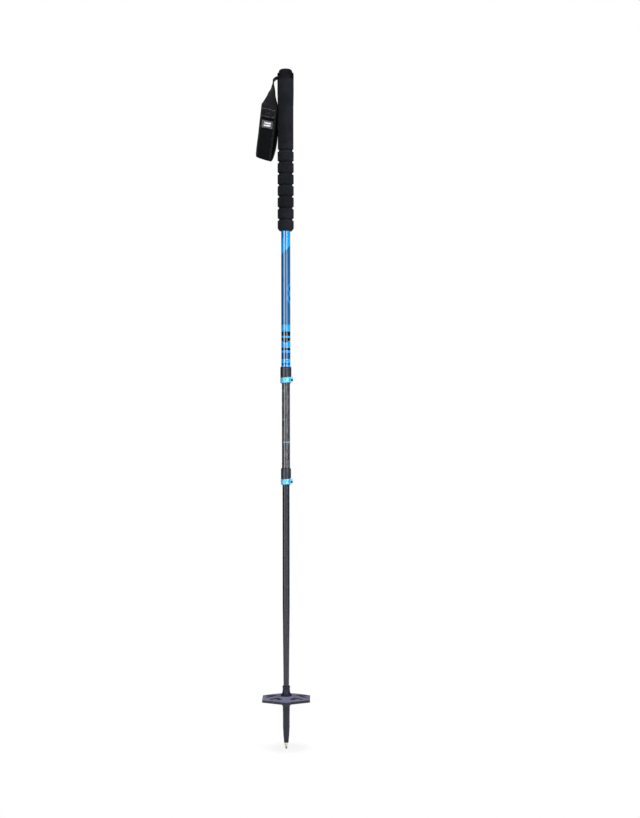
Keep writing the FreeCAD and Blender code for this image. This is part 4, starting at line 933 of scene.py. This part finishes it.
def web_face(side):
    """Height of a webbing face above its middle: flat, rolling over at the woven edge."""
    def height(s, distance):
        roll = max(abs(s) - (1 - EDGE_ROLL), 0.0) / EDGE_ROLL
        return side * (WEB_LAYER / 2) * math.sqrt(max(1 - roll ** 2, 0.0)) * WEB_FILL
    return height


def make_webbing():
    web = cloth("strap_webbing", (6, 5, 8), (16, 14, 20), thread=0.95 * MM, depth=0.26 * MM)
    front = Run(FRONT_COURSE, WEB_LAYER / 2)
    back = Run(BACK_COURSE, -WEB_LAYER / 2)
    for name, course, run, nodes in (
        ("webbing_front", FRONT_COURSE, front, ("strap_neck", "strap_front")),
        ("webbing_back", BACK_COURSE, back, ("strap_root", "strap_back")),
    ):
        widest = WEB_WIDTH * max(station[-1] for station in course)
        piece = strip(
            name, run, 0.0, run.length, WEB_WIDTH, web_face(1), web_face(-1), [web],
            steps=130, columns=17,
        )
        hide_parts(*nodes)
        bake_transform(piece)
    return front, back


# the padded band's section; heights are shares of half its thickness
CROWN_EDGE = 0.62           # beside the binding, against 1 at the middle
BOUND_EDGE, BOUND_SWELL = 0.5, 0.16
BOUND_ROLL = 0.55           # share of the binding's width after which it rolls over
CHANNEL_DEPTH, CHANNEL_SPREAD = 0.22, 0.03
SEAM_DEPTH, SEAM_SPREAD = 0.16, 1.1 * MM
BAND_SEAMS = (8 * MM, 26 * MM)
END_HEIGHT, END_TAPER = 0.45, 3.5 * MM
PUCKER, TWIST = 0.07 * MM, 0.16 * MM
INNER_RIPPLE = 0.8


def band_faces(length):
    """The padded band's two faces: soft crown between stitched channels, thin at the bound edges."""
    full = BAND_THICK / 2

    def profile(s, distance):
        if abs(s) < BINDING:
            crown = full * (CROWN_EDGE + (1 - CROWN_EDGE) * (1 - (abs(s) / BINDING) ** 3))
        else:
            t = (abs(s) - BINDING) / (1 - BINDING)
            crown = full * (BOUND_EDGE + BOUND_SWELL * math.sin(math.pi * min(t * 1.15, 1.0)))
            over = max(t - BOUND_ROLL, 0) / (1 - BOUND_ROLL)
            crown *= math.sqrt(max(1 - over ** 2, 0.0))
        crown -= full * CHANNEL_DEPTH * math.exp(-((abs(s) - BINDING) / CHANNEL_SPREAD) ** 2)
        seams = sum(math.exp(-((distance - seam) / SEAM_SPREAD) ** 2) for seam in BAND_SEAMS)
        crown -= full * SEAM_DEPTH * seams * (abs(s) < BINDING)
        ends = max(min(distance, length - distance), 0.0)
        return crown * (END_HEIGHT + (1 - END_HEIGHT) * (1 - math.exp(-ends / END_TAPER)))

    def ripple(s, distance):
        """Puckers of two lengths and a slow twist, their waves set off from one another."""
        long_wave = math.sin(distance / (7.3 * MM) + 2.1 * s)
        short_wave = math.sin(distance / (3.1 * MM) - 1.3 * s + 0.8)
        slow_wave = math.sin(distance / (19 * MM) + 1.1)
        return PUCKER * long_wave * short_wave + TWIST * slow_wave * s

    def outer(s, distance):
        return profile(s, distance) + ripple(s, distance)

    def inner(s, distance):
        return -profile(s, distance) + ripple(s, distance) * INNER_RIPPLE
    return outer, inner


def make_band():
    lining = brushed_lining("band_lining", (7, 8, 10), (14, 15, 18))
    tape = cloth("band_binding", (9, 9, 12), (22, 22, 27), thread=0.55 * MM, depth=0.12 * MM)
    run = Run(BAND_COURSE)
    outer, inner = band_faces(run.length)

    def choose(s, distance):
        return 1 if abs(s) >= BINDING - 0.005 else 0
    band = strip(
        "padded_band", run, 0.0, run.length, BAND_WIDTH, outer, inner, [lining, tape],
        steps=190, columns=41, choose=choose,
    )
    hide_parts("strap_band")
    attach(band, "strap")
    return run, outer


STITCH, STITCH_GAP = 2.6 * MM, 0.55 * MM
THREAD_RADIUS, BOLD_THREAD_RADIUS = 0.17 * MM, 0.3 * MM
EDGE_SEAM_INSET = 0.035     # from the binding, as a share of the band's half width
FRONT_BOX = (17 * MM, 2 * MM)       # start and end of the sewn box, before the webbing's end
BACK_SEAMS = (2 * MM, 11 * MM)      # the same for the back layer's two rows


def stitches_along(start, end, across, out):
    """Stitches down the strap at one distance across it; out gives the height at a distance."""
    rows = []
    for i in range(int((end - start) / STITCH)):
        d0 = start + i * STITCH + STITCH_GAP / 2
        d1 = d0 + STITCH - STITCH_GAP
        rows.append((d0, across, out(d0), d1, across, out(d1)))
    return rows


def stitches_across(distance, half, out):
    rows = []
    for i in range(int(2 * half / STITCH)):
        a0 = -half + i * STITCH + STITCH_GAP / 2
        rows.append((distance, a0, out, distance, a0 + STITCH - STITCH_GAP, out))
    return rows


def stitches_crossed(start, end, half, out):
    """Stitches along the two diagonals of a sewn box."""
    rows = []
    count = int(math.hypot(end - start, 2 * half) / STITCH)
    for sign in (-1, 1):
        for i in range(count):
            t0, t1 = (i + 0.1) / count, (i + 0.9) / count
            rows.append((
                start + (end - start) * t0, sign * half * (2 * t0 - 1), out,
                start + (end - start) * t1, sign * half * (2 * t1 - 1), out,
            ))
    return rows


def make_stitching(front, back, band_run, band_outer):
    def thread_of(name, dark, light):
        return cloth(name, dark, light, thread=0.3 * MM, depth=0.03 * MM, fuzz=0.08, roughness=0.7)
    thread = thread_of("sewing_thread", (52, 52, 57), (92, 92, 100))
    pale_thread = thread_of("pale_sewing_thread", (96, 96, 104), (168, 168, 178))

    rows = []
    for side in (-1, 1):
        s = side * (BINDING - EDGE_SEAM_INSET)
        rows += stitches_along(
            12 * MM, band_run.length - 6 * MM, s * BAND_WIDTH / 2, lambda d, s=s: band_outer(s, d)
        )
    edge = thread_row("band_edge_stitching", band_run, rows, THREAD_RADIUS, thread)

    face = WEB_LAYER / 2
    seam = WEB_WIDTH * 0.6
    box_start, box_end = (front.length - back_off for back_off in FRONT_BOX)
    rows = stitches_across(box_end, seam, face) + stitches_across(box_start, seam, face)
    joint = thread_row("front_seam_stitching", front, rows, BOLD_THREAD_RADIUS, pale_thread)
    rows = stitches_crossed(box_start, box_end, seam, face)
    for side in (-1, 1):
        rows += stitches_along(box_start, box_end, side * seam, lambda d: face)
    box = thread_row("front_box_stitching", front, rows, THREAD_RADIUS, thread)

    rows = []
    for back_off in BACK_SEAMS:
        rows += stitches_across(back.length - back_off, WEB_WIDTH * 0.45, -face)
    rear = thread_row("back_seam_stitching", back, rows, THREAD_RADIUS, thread)
    for piece in (edge, joint, box, rear):
        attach(piece, "strap")


PATCH_MIDDLE = 40.5 * MM    # down the band
PATCH_BORDER = 1.1 * MM
PATCH_RISE, BORDER_RISE = 0.42 * MM, 0.18 * MM
PATCH_SINK = 0.15 * MM      # its underside lies just inside the band
BAR_START, BAR_END, BAR_HALF = 1.1 * MM, 4.0 * MM, 0.6


def make_patch(band_run, band_outer):
    """Plain woven patch with a raised border and two bars, sewn on the front of the band."""
    ground = cloth(
        "patch_ground", (58, 60, 64), (92, 94, 99),
        thread=0.45 * MM, depth=0.08 * MM, fuzz=0.05, roughness=0.75,
    )
    border = cloth(
        "patch_border", (196, 198, 202), (250, 250, 252),
        thread=0.4 * MM, depth=0.1 * MM, fuzz=0.05, roughness=0.7,
    )
    tall, wide = 15 * MM, 22 * MM

    def under(s, distance):
        return band_outer(s * wide / 2 / (BAND_WIDTH / 2), distance)

    def lift(s, distance):
        from_edge = min(wide / 2 - abs(s) * wide / 2, tall / 2 - abs(distance - PATCH_MIDDLE))
        rim = BORDER_RISE if from_edge < PATCH_BORDER else 0.0
        return under(s, distance) + PATCH_RISE + rim

    def choose(s, distance):
        return 1 if BAR_START < abs(distance - PATCH_MIDDLE) < BAR_END and abs(s) < BAR_HALF else 0
    patch = strip(
        "strap_patch", band_run, PATCH_MIDDLE - tall / 2, PATCH_MIDDLE + tall / 2, wide,
        lift, lambda s, d: under(s, d) - PATCH_SINK, [ground, border],
        steps=34, columns=41, choose=choose,
    )
    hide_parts("strap_label")
    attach(patch, "strap")


TAB_FROM_END = (36 * MM, 24 * MM)
TAB_THICK, TAB_ROLL = 1.2 * MM, 0.6
TAB_GAP = 0.02 * MM         # over the webbing


def make_keeper(back):
    """Short sewn tab across the inside of the back layer."""
    lining = brushed_lining("keeper_lining", (20, 21, 23), (36, 37, 40))
    start, end = (back.length - back_off for back_off in TAB_FROM_END)
    wide = WEB_WIDTH * 0.9
    drawn = wide / BACK_COURSE[-3][-1]  # the course widens its strips by its share

    def outer(s, distance):
        return WEB_LAYER / 2 + TAB_THICK * (1 - abs(s) ** 6 * TAB_ROLL)
    tab = strip(
        "strap_tab", back, start, end, drawn,
        outer, lambda s, d: WEB_LAYER / 2 + TAB_GAP, [lining], steps=14, columns=15,
    )
    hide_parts("strap_keeper")
    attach(tab, "strap")


# ------------------------------------------------------------------ make it

studio()
paint_frame()
front, back = make_webbing()
band_run, band_outer = make_band()
make_stitching(front, back, band_run, band_outer)
make_patch(band_run, band_outer)
make_keeper(back)

new_low, new_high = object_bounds()
{"cad": [list(CAD_LOW), list(CAD_HIGH)], "visual": [list(new_low), list(new_high)]}
